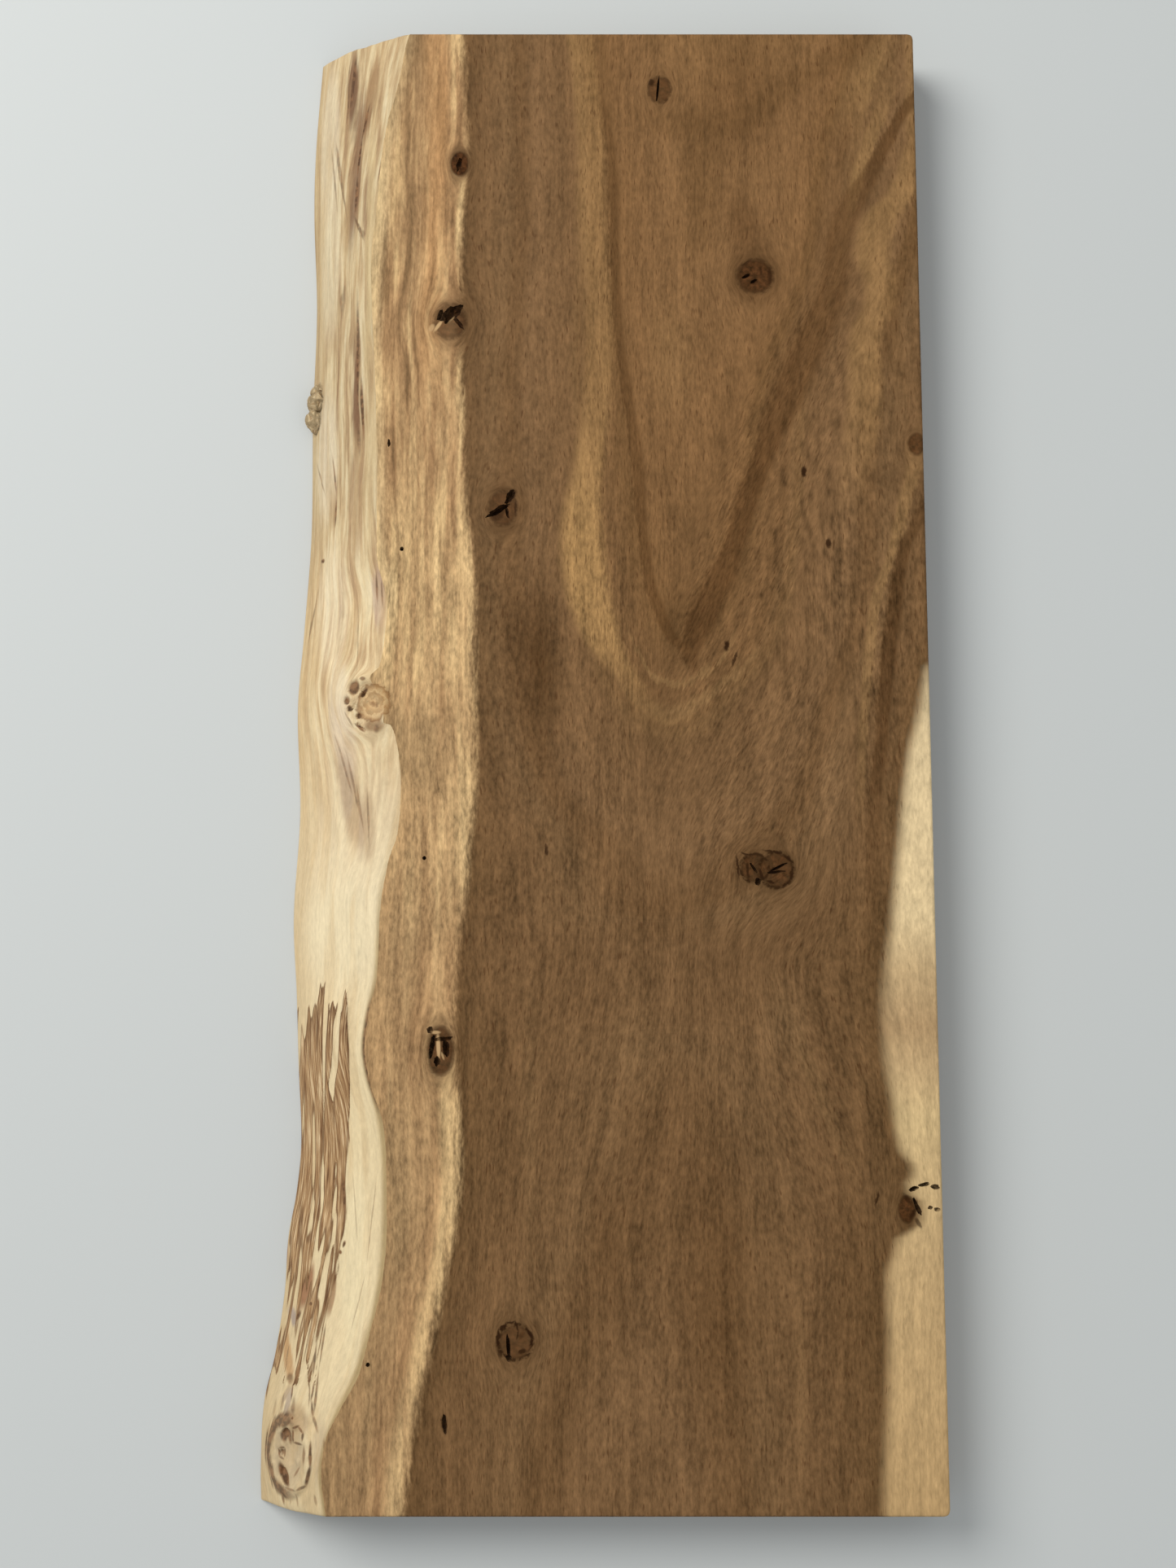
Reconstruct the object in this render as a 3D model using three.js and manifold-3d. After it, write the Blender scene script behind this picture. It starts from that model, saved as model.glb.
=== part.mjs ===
// A monkeypod slab: one plank sawn from a log, with the log's own surface left on one long side.
// Millimetres, +Z up. The slab lies flat on its sawn back, and the grain runs along Y.
// The origin is under the middle of the slab's box. The natural edge is on the -X side.
// Places on the slab are given as "along", measured from its bottom end at -Y,
// and "across", measured from its sawn long edge at +X.

import * as THREE from 'three';
import { mergeVertices } from 'three/addons/utils/BufferGeometryUtils.js';
import Module from 'manifold-3d';

const wasm = await Module();
wasm.setup();

// Driving dimensions of the board
const slabLength = 762;
const slabWidth = 338.2;
const slabThickness = 35;
const cornerRadius = 3;
const arrisEasing = 1.5;

// The natural side, as [along, across]: where its foot meets the back,
// and where it meets the sawn front face.
const footLine = [
  [0, 337.6], [20, 338.4], [48, 337.1], [70, 332.3], [100, 328.2], [128, 326.8],
  [150, 323.2], [175, 321.3], [215, 323.5], [250, 325.2], [290, 327.6], [345, 325.4],
  [400, 327.8], [440, 325.4], [495, 322.5], [560, 323.0], [620, 322.1], [675, 324.6],
  [712, 324.4], [762, 321.5],
];
const waneLine = [
  [0, 300.4], [22, 303.5], [42, 298.6], [65, 287.4], [80, 282.4], [100, 277.4],
  [125, 274.4], [165, 274.6], [190, 277.4], [210, 283.6], [224, 285.7], [240, 283.9],
  [260, 279.9], [300, 278.2], [330, 271.9], [360, 270.4], [385, 274.8], [408, 281.8],
  [428, 279.4], [452, 278.2], [475, 283.6], [540, 285.4], [610, 288.4], [660, 285.4],
  [700, 281.4], [740, 275.2], [762, 270.6],
];

// The section of the natural side is a superellipse, nearly straight near the front face
// and steep at its foot.
const sectionFlatness = 1.1;
const sectionSteepness = 1.35;
const reliefFade = 6;
const footTuck = 0.5;
const footDrop = 5;
const footFlare = 0.3;

// The log is modelled past the board's faces, so that the saw cuts go through it
const endMargin = 6;
const innerMargin = 6;
const innerRise = 4;
const edgeMargin = 12;
const boardMargin = 20;

// Facets of the natural side, the hollows and the lumps
const rowCount = 164;
const columnCount = 16;
const hollowFacets = [11, 7];
const lumpFacets = [9, 6];
const mergeTolerance = 1e-4;

// Long flutes that the log's surface carries with the grain
const flutes = [
  { pitch: 23, depth: 0.45, wander: 7, wanderLength: 260, start: 2 },
  { pitch: 11.5, depth: 0.25, wander: 5, wanderLength: 150, start: 5 },
  { pitch: 61, depth: 0.7, wander: 12, wanderLength: 420, start: 11 },
];

// Knots on the natural side: a raised ring round a sunken heart
const sideKnots = [
  { along: 397, across: 287.2, halfLength: 13.5, halfWidth: 11.5, rim: 2.2, hollow: 1.6 },
  { along: 25.5, across: 321.0, halfLength: 17, halfWidth: 11.5, rim: 2.4, hollow: 1.8 },
];
const rimSharpness = 0.32;
const heartSpread = 0.6;

// A groove where bark was once folded in, as [along, across]
const grooveLine = [
  [512, 294.2], [540, 293.4], [560, 295.9], [585, 297.6], [615, 300.6], [650, 299.2],
  [690, 298.0], [725, 298.4], [762, 295.8],
];
const grooveDepth = 1.7;
const grooveHalfWidth = 3.2;
const grooveFade = 22;

// A patch of inner bark that still covers the wood between this line and the foot
const barkLine = [
  [44, 308.5], [70, 307.6], [90, 303.8], [112, 299.0], [130, 295.4], [175, 293.6],
  [215, 293.4], [252, 295.4],
];
const barkThickness = 1.1;
const barkEdgeWidth = 3;
const barkFade = 9;

// Small lumps of burl at the foot: [along, across, height above the back, half length, radius]
const burlLumps = [
  [556, 320.6, 6.5, 8.0, 6.0],
  [566.5, 320.2, 9.5, 6.5, 5.6],
  [573, 318.8, 6.5, 5.5, 5.2],
];

// Hollows in knots and cracks, cut from the front face or the natural side.
// A turn is in degrees from the grain, counter-clockwise seen from the front.
const hollows = [
  { along: 603, across: 246.4, halfLength: 8.5, halfWidth: 5.0, depth: 4.5, turn: -48 },
  { along: 221, across: 247.4, halfLength: 11.0, halfWidth: 4.6, depth: 4.5, turn: -8 },
  { along: 500, across: 219.0, halfLength: 7.5, halfWidth: 3.6, depth: 3.5, turn: -40 },
  { along: 688, across: 243.4, halfLength: 5.5, halfWidth: 4.0, depth: 2.5, turn: 0 },
  { along: 312.5, across: 79.8, halfLength: 6.0, halfWidth: 2.0, depth: 2.5, turn: -80 },
  { along: 309.5, across: 91.4, halfLength: 5.5, halfWidth: 2.2, depth: 2.5, turn: -20 },
  { along: 145.5, across: 15.6, halfLength: 5.0, halfWidth: 3.0, depth: 3.0, turn: 30 },
  { along: 156.5, across: 4.0, halfLength: 2.2, halfWidth: 6.5, depth: 3.0, turn: 12 },
  { along: 43, across: 243.4, halfLength: 5.0, halfWidth: 1.8, depth: 2.0, turn: 0 },
  { along: 399, across: 297.0, halfLength: 6.5, halfWidth: 2.2, depth: 3.0, turn: -6 },
  { along: 388, across: 291.5, halfLength: 5.5, halfWidth: 1.8, depth: 2.5, turn: 40 },
  { along: 36.5, across: 323.2, halfLength: 4.0, halfWidth: 3.0, depth: 3.0, turn: 20 },
  { along: 16.5, across: 323.5, halfLength: 4.5, halfWidth: 3.0, depth: 3.0, turn: 35 },
];
const hollowUnevenness = 0.14;

// The value of a line at one place along the slab, by a smooth curve through its points
function smoothLine(points) {
  const alongs = points.map(([along]) => along);
  const values = points.map(([, across]) => across);
  const curve = new THREE.CubicInterpolant(alongs, values, 1);
  const first = alongs[0];
  const last = alongs[alongs.length - 1];
  return (along) => curve.evaluate(THREE.MathUtils.clamp(along, first, last))[0];
}

const footAt = smoothLine(footLine);
const waneAt = smoothLine(waneLine);
const grooveAt = smoothLine(grooveLine);
const barkAt = smoothLine(barkLine);

// 1 between two places along the slab, fading to 0 over a length outside them
function between(along, low, high, fade) {
  const entering = THREE.MathUtils.smoothstep(along, low - fade, low);
  const leaving = THREE.MathUtils.smoothstep(along, high, high + fade);
  return entering * (1 - leaving);
}

function fluteHeight(along, across) {
  let height = 0;
  for (const { pitch, depth, wander, wanderLength, start } of flutes) {
    const drift = wander * Math.sin((2 * Math.PI * (along + start * pitch)) / wanderLength);
    height += depth * Math.sin((2 * Math.PI * (across + drift + start)) / pitch);
  }
  return height;
}

function sideKnotHeight(along, across) {
  let height = 0;
  for (const knot of sideKnots) {
    const lengthwise = (along - knot.along) / knot.halfLength;
    const crosswise = (across - knot.across) / knot.halfWidth;
    const radius = Math.hypot(lengthwise, crosswise);
    const fromRim = (radius - 1) / rimSharpness;
    const fromHeart = radius / heartSpread;
    height += knot.rim * Math.exp(-fromRim * fromRim);
    height -= knot.hollow * Math.exp(-fromHeart * fromHeart);
  }
  return height;
}

function grooveHeight(along, across) {
  const [start] = grooveLine[0];
  const aside = (across - grooveAt(along)) / grooveHalfWidth;
  const run = THREE.MathUtils.smoothstep(along, start, start + grooveFade);
  return -grooveDepth * run * Math.exp(-aside * aside);
}

function barkHeight(along, across) {
  const low = barkLine[0][0] + barkFade;
  const high = barkLine[barkLine.length - 1][0] - barkFade;
  const edge = barkAt(along);
  const covered = THREE.MathUtils.smoothstep(across, edge - barkEdgeWidth / 2, edge + barkEdgeWidth / 2);
  return barkThickness * covered * between(along, low, high, barkFade);
}

// Height of the natural side above the slab's back
function sideHeight(along, across) {
  const wane = waneAt(along);
  const reach = THREE.MathUtils.clamp((across - wane) / (footAt(along) - wane), 0, 1);
  const section = Math.pow(1 - Math.pow(reach, sectionFlatness), 1 / sectionSteepness);
  const relief = fluteHeight(along, across) + sideKnotHeight(along, across)
    + grooveHeight(along, across) + barkHeight(along, across);
  return (slabThickness + footTuck) * section - footTuck + relief * (1 - Math.pow(reach, reliefFade));
}

// The model's own X and Y of a place on the slab
function placed(along, across) {
  return [slabWidth / 2 - across, along - slabLength / 2];
}

function toSolid(geometry) {
  geometry.deleteAttribute('normal');
  geometry.deleteAttribute('uv');
  const merged = mergeVertices(geometry, mergeTolerance);
  return new wasm.Manifold(new wasm.Mesh({
    numProp: 3,
    vertProperties: Float32Array.from(merged.attributes.position.array),
    triVerts: Uint32Array.from(merged.index.array),
  }));
}

// The sawn board: a rectangle with rounded corners and eased arrises,
// wide enough on the -X side for the log's own surface to be the edge there
function sawnBoard() {
  const right = slabWidth / 2 - arrisEasing;
  const left = -slabWidth / 2 - boardMargin;
  const top = slabLength / 2 - arrisEasing;
  const outline = new THREE.Shape();
  outline.moveTo(left, -top);
  outline.lineTo(right - cornerRadius, -top);
  outline.absarc(right - cornerRadius, -top + cornerRadius, cornerRadius, -Math.PI / 2, 0, false);
  outline.absarc(right - cornerRadius, top - cornerRadius, cornerRadius, 0, Math.PI / 2, false);
  outline.lineTo(left, top);
  outline.closePath();
  const geometry = new THREE.ExtrudeGeometry(outline, {
    depth: slabThickness - 2 * arrisEasing,
    steps: 1,
    curveSegments: 4,
    bevelEnabled: true,
    bevelThickness: arrisEasing,
    bevelSize: arrisEasing,
    bevelSegments: 2,
  });
  geometry.translate(0, 0, arrisEasing);
  return toSolid(geometry);
}

// The log under its own surface: a block whose top follows the natural side
// and rises over the whole board elsewhere
function logSide() {
  const columns = columnCount + 3;
  const geometry = new THREE.BoxGeometry(1, 1, 1, columns, rowCount, 1);
  const position = geometry.attributes.position;
  for (let i = 0; i < position.count; i += 1) {
    const column = Math.round((position.getX(i) + 0.5) * columns);
    const along = (position.getY(i) + 0.5) * (slabLength + 2 * endMargin) - endMargin;
    const foot = footAt(along);
    const wane = waneAt(along);
    let across;
    let height;
    if (column === 0) {
      across = foot + footFlare;
      height = -footDrop;
    } else if (column <= columnCount + 1) {
      const reach = 1 - (column - 1) / columnCount;
      across = wane + (foot - wane) * reach;
      height = sideHeight(along, across);
    } else if (column === columnCount + 2) {
      across = wane - innerMargin;
      height = slabThickness + innerRise;
    } else {
      across = -edgeMargin;
      height = slabThickness * 2;
    }
    const isTop = position.getZ(i) > 0;
    const [x, y] = placed(along, across);
    position.setXYZ(i, x, y, isTop ? height : -2 * footDrop);
  }
  return toSolid(geometry);
}

// An uneven ellipsoid, as wood leaves when it tears or rots out of a knot
function hollowSolid({ along, across, halfLength, halfWidth, depth, turn }) {
  const onSide = across > waneAt(along);
  const surface = onSide ? Math.min(sideHeight(along, across), slabThickness) : slabThickness;
  const geometry = new THREE.SphereGeometry(1, ...hollowFacets);
  const position = geometry.attributes.position;
  for (let i = 0; i < position.count; i += 1) {
    const x = position.getX(i);
    const y = position.getY(i);
    const uneven = 1 + hollowUnevenness * Math.sin(5 * x + along) * Math.cos(4 * y + across);
    position.setXYZ(i, x * uneven, y * uneven, position.getZ(i));
  }
  const [x, y] = placed(along, across);
  geometry.scale(halfWidth, halfLength, depth);
  geometry.rotateZ(THREE.MathUtils.degToRad(turn));
  geometry.translate(x, y, surface);
  return toSolid(geometry);
}

function burlSolid([along, across, height, halfLength, radius]) {
  const [x, y] = placed(along, across);
  const geometry = new THREE.SphereGeometry(1, ...lumpFacets);
  geometry.scale(radius, halfLength, radius);
  geometry.translate(x, y, height);
  return toSolid(geometry);
}

function slabGeometry() {
  let wood = logSide();
  for (const lump of burlLumps) {
    wood = wood.add(burlSolid(lump));
  }
  wood = wood.intersect(sawnBoard());
  for (const hollow of hollows) {
    wood = wood.subtract(hollowSolid(hollow));
  }
  const { vertProperties, triVerts } = wood.getMesh();
  const geometry = new THREE.BufferGeometry();
  geometry.setAttribute('position', new THREE.BufferAttribute(vertProperties, 3));
  geometry.setIndex(new THREE.BufferAttribute(triVerts, 1));
  geometry.computeVertexNormals();
  return geometry;
}

const wood = new THREE.MeshStandardMaterial({ color: 0x7d5c3c, roughness: 0.6, metalness: 0 });
const slab = new THREE.Mesh(slabGeometry(), wood);
slab.name = 'slab';

const monkeypodSlab = new THREE.Group();
monkeypodSlab.add(slab);

export default monkeypodSlab;
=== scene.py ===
"""A monkeypod slab lying on a pale floor: its looks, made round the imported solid.

Places on the slab are in millimetres, as in the solid's source: "along" runs from the bottom end
with the grain, "across" runs from the sawn long edge towards the natural edge, and "depth" runs
from the front face to the back. Colours are given as they look on a screen, 0 to 255.
"""

import math

import bmesh
import bpy
import numpy as np
from mathutils import Euler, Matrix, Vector, noise


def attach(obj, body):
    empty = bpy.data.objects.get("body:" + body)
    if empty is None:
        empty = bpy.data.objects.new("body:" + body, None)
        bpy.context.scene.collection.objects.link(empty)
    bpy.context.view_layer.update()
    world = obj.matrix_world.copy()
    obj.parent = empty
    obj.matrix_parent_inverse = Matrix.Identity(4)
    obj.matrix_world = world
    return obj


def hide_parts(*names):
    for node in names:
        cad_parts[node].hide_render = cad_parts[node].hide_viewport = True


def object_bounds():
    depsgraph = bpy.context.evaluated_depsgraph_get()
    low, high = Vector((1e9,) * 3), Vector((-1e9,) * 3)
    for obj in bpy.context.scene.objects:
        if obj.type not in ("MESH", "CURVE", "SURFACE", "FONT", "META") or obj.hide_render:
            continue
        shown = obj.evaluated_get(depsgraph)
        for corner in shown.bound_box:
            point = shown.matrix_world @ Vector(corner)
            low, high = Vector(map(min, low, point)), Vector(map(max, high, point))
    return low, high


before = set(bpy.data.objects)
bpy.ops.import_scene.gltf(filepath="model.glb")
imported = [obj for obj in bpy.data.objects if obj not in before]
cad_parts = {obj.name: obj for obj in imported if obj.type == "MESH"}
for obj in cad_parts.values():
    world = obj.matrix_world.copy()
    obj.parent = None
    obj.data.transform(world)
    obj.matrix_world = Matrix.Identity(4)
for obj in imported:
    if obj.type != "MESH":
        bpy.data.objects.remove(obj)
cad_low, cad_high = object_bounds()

MM = 0.001
SLAB_WIDTH = (cad_high.x - cad_low.x) / MM
SLAB_LENGTH = (cad_high.y - cad_low.y) / MM
SLAB_THICKNESS = (cad_high.z - cad_low.z) / MM
SAWN_EDGE_X = cad_high.x / MM
BOTTOM_END_Y = cad_low.y / MM
FRONT_Z = cad_high.z / MM

# Photograph's view, with the camera over the slab
CAMERA_ACROSS = 174.4
CAMERA_ALONG = 231.0
CAMERA_HEIGHT = 919.5
CAMERA_TILT = math.radians(7.72)
LENS = 42.06
SENSOR = 36.0

# Soft lights, all aimed at the slab: place and size in metres, power and colour
LIGHTS = {
    "window": ((-1.3, 1.0, 1.7), 1.6, 42.0, (1.0, 0.985, 0.96)),
    "room": ((1.4, -0.8, 1.6), 2.0, 5.0, (1.0, 0.97, 0.93)),
}
SKY_COLOUR = (0.92, 0.96, 1.0, 1.0)
SKY_STRENGTH = 0.45

# Floor: half its width in metres, and the gap in millimetres that keeps it clear of the back
FLOOR_HALF_WIDTH = 3.0
FLOOR_COLOUR = (205, 208, 206)
FLOOR_GAP = 0.2

# Sawn board
CORNER_RADIUS = 3.0
ARRIS = 1.5
SANDED_ROUGHNESS = 0.62
END_ROUGHNESS = 0.82
END_DARKNESS = 0.28

# Grid of the front and the natural side: steps in from the eased edges, rows and columns, and
# the height below which the easing of the arris fades out
EASED_STEPS = np.array([0.0, 0.2, 0.7, 1.5, 3.0])
ROW_STEP = 1.4
KNOT_ROW_STEP = 1.0
SIDE_COLUMNS = 52
FLAT_COLUMNS = 20
EASING_HEIGHT = 6

# Search for the line where the front saw cut meets the natural side
SEARCH_WIDTH = 26
SEARCH_STEP = 0.25

# Back: what counts as standing above it, which points are one, and how wide the foot winds
RIM_HEIGHT = 0.01
SAME_POINT = 0.002
FOOT_WIDTH = 60

# Natural side, as (along, across): its foot at the back and its line on the front face
FOOT_LINE = [
    (0, 337.6), (20, 338.4), (48, 337.1), (70, 332.3), (100, 328.2), (128, 326.8), (150, 323.2),
    (175, 321.3), (215, 323.5), (250, 325.2), (290, 327.6), (345, 325.4), (400, 327.8),
    (440, 325.4), (495, 322.5), (560, 323), (620, 322.1), (675, 324.6), (712, 324.4),
    (762, 321.5),
]
WANE_LINE = [
    (0, 300.4), (22, 303.5), (42, 298.6), (65, 287.4), (80, 282.4), (100, 277.4), (125, 274.4),
    (165, 274.6), (190, 277.4), (210, 283.6), (224, 285.7), (240, 283.9), (260, 279.9),
    (300, 278.2), (330, 271.9), (360, 270.4), (385, 274.8), (408, 281.8), (428, 279.4),
    (452, 278.2), (475, 283.6), (540, 285.4), (610, 288.4), (660, 285.4), (700, 281.4),
    (740, 275.2), (762, 270.6),
]

# Shape of the natural side in section, from the front face down to the back
SECTION_FLATNESS = 1.1
SECTION_STEEPNESS = 1.35
FOOT_TUCK = 0.5
RELIEF_FADE = 6
INNER_MARGIN = 6.0
INNER_RISE = 4.0

# Flutes of the natural side: pitch, depth, wander, wander length, start
FLUTES = [
    (23, 0.45, 7, 260, 2),
    (11.5, 0.25, 5, 150, 5),
    (61, 0.7, 12, 420, 11),
]

# Knots of the natural side: along, across, half length, half width, rim, hollow, furrow round it
SIDE_KNOTS = [
    (397, 287.2, 13.5, 11.5, 2.2, 1.6, 0),
    (25.5, 321, 17, 11.5, 2.4, 1.8, 1.3),
]
RIM_SHARPNESS = 0.32
HEART_SPREAD = 0.6
BURR_HEIGHT = 0.9
FURROW_RADIUS = 1.18
FURROW_WIDTH = 0.12

# Pits in those knots: along, across, half length, half width, depth, turn in degrees
SIDE_PITS = [
    (406.5, 294.6, 4.6, 3.6, 2.6, -20),
    (403.2, 289.4, 3.2, 1.1, 2.2, -38),
    (400, 298.6, 2.6, 2, 2.4, 0),
    (395.6, 296.6, 1.4, 2.2, 2.2, 20),
    (391.8, 292.1, 1.7, 1.7, 2.4, 0),
    (386, 290.6, 4.4, 0.9, 2.2, 50),
    (35.9, 322.6, 3, 2.4, 3, 10),
    (26.3, 324.9, 1.9, 1.5, 2, 0),
    (16.2, 322.8, 4.6, 2.2, 3.2, 26),
]

# Groove where bark was folded in, and the edge of the patch of inner bark
GROOVE_LINE = [
    (512, 294.2), (540, 293.4), (560, 295.9), (585, 297.6), (615, 300.6), (650, 299.2),
    (690, 298), (725, 298.4), (762, 295.8),
]
GROOVE_DEPTH = 1.7
GROOVE_HALF_WIDTH = 3.2
GROOVE_FADE = 22.0
BARK_LINE = [
    (44, 308.5), (70, 307.6), (90, 303.8), (112, 299), (130, 295.4), (175, 293.6),
    (215, 293.4), (252, 295.4),
]
BARK_THICKNESS = 1.1

# Lumps of burl at the foot: along, across, height, half length, radius. Their skin is kept a
# little inside the slab's outermost line and above its back.
BURL_LUMPS = [
    (556.5, 320.6, 6, 6.6, 5),
    (565.5, 320.2, 8.5, 5.4, 4.8),
    (571.5, 318.8, 6.2, 4.6, 4.6),
]
BURL_INSIDE = 0.2
BURL_ABOVE = 0.4

# Hollows and cracks in the front face: along, across, half length, half width, depth, turn
HOLLOWS = [
    (604.5, 245.9, 6.5, 3.6, 4.5, -50),
    (600, 242.6, 4.6, 1.1, 3.5, 38),
    (604, 252, 3.4, 1.2, 3, -20),
    (224, 252, 6.2, 1.4, 3.6, -8),
    (223.4, 245, 4.6, 1.6, 3.6, 8),
    (227.8, 246.4, 1.2, 4.4, 2.6, 6),
    (216.8, 249.4, 2.7, 1.7, 3, 0),
    (232.2, 253, 1.8, 1.5, 2.4, 0),
    (498.4, 220.9, 6.6, 1.7, 4, -61),
    (505.6, 214.8, 4.2, 1.9, 3, -25),
    (497.4, 216.2, 3.6, 0.8, 2.5, 12),
    (688, 242.8, 4, 1.3, 2.2, -12),
    (730.2, 137.1, 7.2, 0.65, 3, -5),
    (625.4, 91.2, 2.6, 0.9, 2, -65),
    (622.6, 87.2, 2.1, 0.9, 2, -60),
    (313.4, 78.6, 4.9, 0.7, 2, -63),
    (310.9, 80.1, 4.6, 0.7, 2, -84),
    (305.9, 88.9, 1.9, 1.7, 2.5, 0),
    (312.9, 90.9, 3.2, 0.7, 2, 35),
    (79.8, 213.2, 5.4, 1, 3.5, 6),
    (74.2, 213, 1.7, 1.4, 2, 20),
    (154.8, 14.2, 1.2, 2.6, 2.5, 20),
    (156.8, 9, 1, 3, 3, 12),
    (155.6, 3.6, 1.3, 2.2, 3, -10),
    (145.7, 6.2, 0.9, 1.2, 2, 0),
    (144.8, 2.9, 1, 1.6, 2, 0),
    (146, 12.6, 4.6, 1.1, 3, 24),
    (43.2, 243.8, 4.4, 1.2, 2, 4),
    (71, 281.4, 1, 1, 3, 0),
    (478, 270.4, 1.1, 1.1, 4, 0),
    (534.5, 277.9, 2, 0.8, 3, 0),
    (318, 256.9, 1, 1, 3, 0),
]

# Knots of the front face: along, across, half length, half width, then how dark their core,
# outline and surroundings are
KNOTS = [
    (729.7, 136.2, 7.8, 6.3, 0.6, 0.5, 0.4),
    (687.8, 242.7, 7, 4.9, 1, 0.3, 0.8),
    (625.2, 86.4, 9.7, 9.8, 0.78, 0.5, 0.9),
    (600.5, 246.8, 10, 8.6, 0.6, 0.4, 0.5),
    (533.9, 3.6, 6.2, 4.6, 0.7, 0.2, 0.4),
    (499.5, 218.5, 9.4, 7.6, 0.55, 0.4, 0.7),
    (312.9, 90.5, 7.6, 7.4, 0.65, 1, 0.6),
    (312, 79.6, 9.4, 9, 0.6, 1, 0.6),
    (221.8, 247.8, 13, 6.8, 0.85, 0.3, 0.6),
    (144.9, 17.8, 6.8, 4.2, 0.8, 0.3, 0.5),
    (81.6, 209.6, 8.8, 8.7, 0.5, 1, 0.6),
]

# Dark lines and spots on the front: along, across, half length, half width, turn, darkness
MARKS = [
    (519, 62.4, 3.4, 1.6, -8, 0.95), (481, 50.4, 3.2, 1.6, 0, 0.9),
    (427, 103.4, 3.4, 1.7, -8, 0.95), (420, 99.4, 5.4, 0.9, -22, 0.8),
    (322, 195.4, 3.4, 1.1, 0, 0.8), (43.5, 244, 5.6, 1.8, 4, 0.8),
    (733.7, 140.3, 2.4, 2.2, 0, 0.8),
    (625.4, 78.8, 6, 1.4, 0, 0.6),
    (632.4, 91.5, 3.2, 0.7, -60, 0.6), (628.4, 83.4, 3.8, 0.7, 8, 0.6),
    (622.5, 86.8, 2.4, 1.5, -50, 0.7), (625.8, 90.8, 2.4, 1.3, -60, 0.7),
    (507, 213.6, 3.6, 2.6, -30, 0.75), (496, 221, 4.6, 3, -60, 0.6),
    (500, 211.9, 5, 0.8, 0, 0.6),
    (305.9, 82.4, 2.8, 0.8, -108, 0.9), (150, 32.3, 4.4, 0.8, -17, 0.8),
    (313.8, 99, 7, 0.8, 6, 0.85), (320, 95, 3, 0.7, 70, 0.8),
    (311.6, 94, 5.8, 0.9, 4, 0.8),
    (321.2, 81.4, 5.6, 0.8, 80, 0.8), (317.6, 73.4, 4, 0.8, 50, 0.8),
    (309.8, 72, 4.4, 0.9, -14, 0.8), (304.4, 75.2, 3.4, 0.8, -50, 0.75),
    (312.8, 80, 5, 0.9, -66, 0.9),
    (309.6, 87, 4.2, 0.8, 20, 0.8),
    (83.6, 218.2, 5.4, 1, -5, 0.95), (88.8, 215.8, 3.2, 0.9, -45, 0.95),
    (91, 211.9, 2.8, 0.8, -74, 0.85), (89.4, 209.2, 3, 0.7, 14, 0.85),
    (85.2, 208.9, 2.6, 0.6, -10, 0.8), (85.8, 202.9, 3.4, 0.9, 32, 0.95),
    (81.6, 202, 2.2, 0.8, -27, 0.95),
    (77.2, 206.4, 2.4, 1.3, -72, 0.85), (76.6, 217.4, 2.6, 1.4, 20, 0.7),
    (143, 14.6, 3.5, 1.5, -30, 0.8), (150, 17.6, 3, 1.4, 30, 0.7),
    (138.6, 12.4, 3.4, 1.2, 30, 0.7),
]

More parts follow.
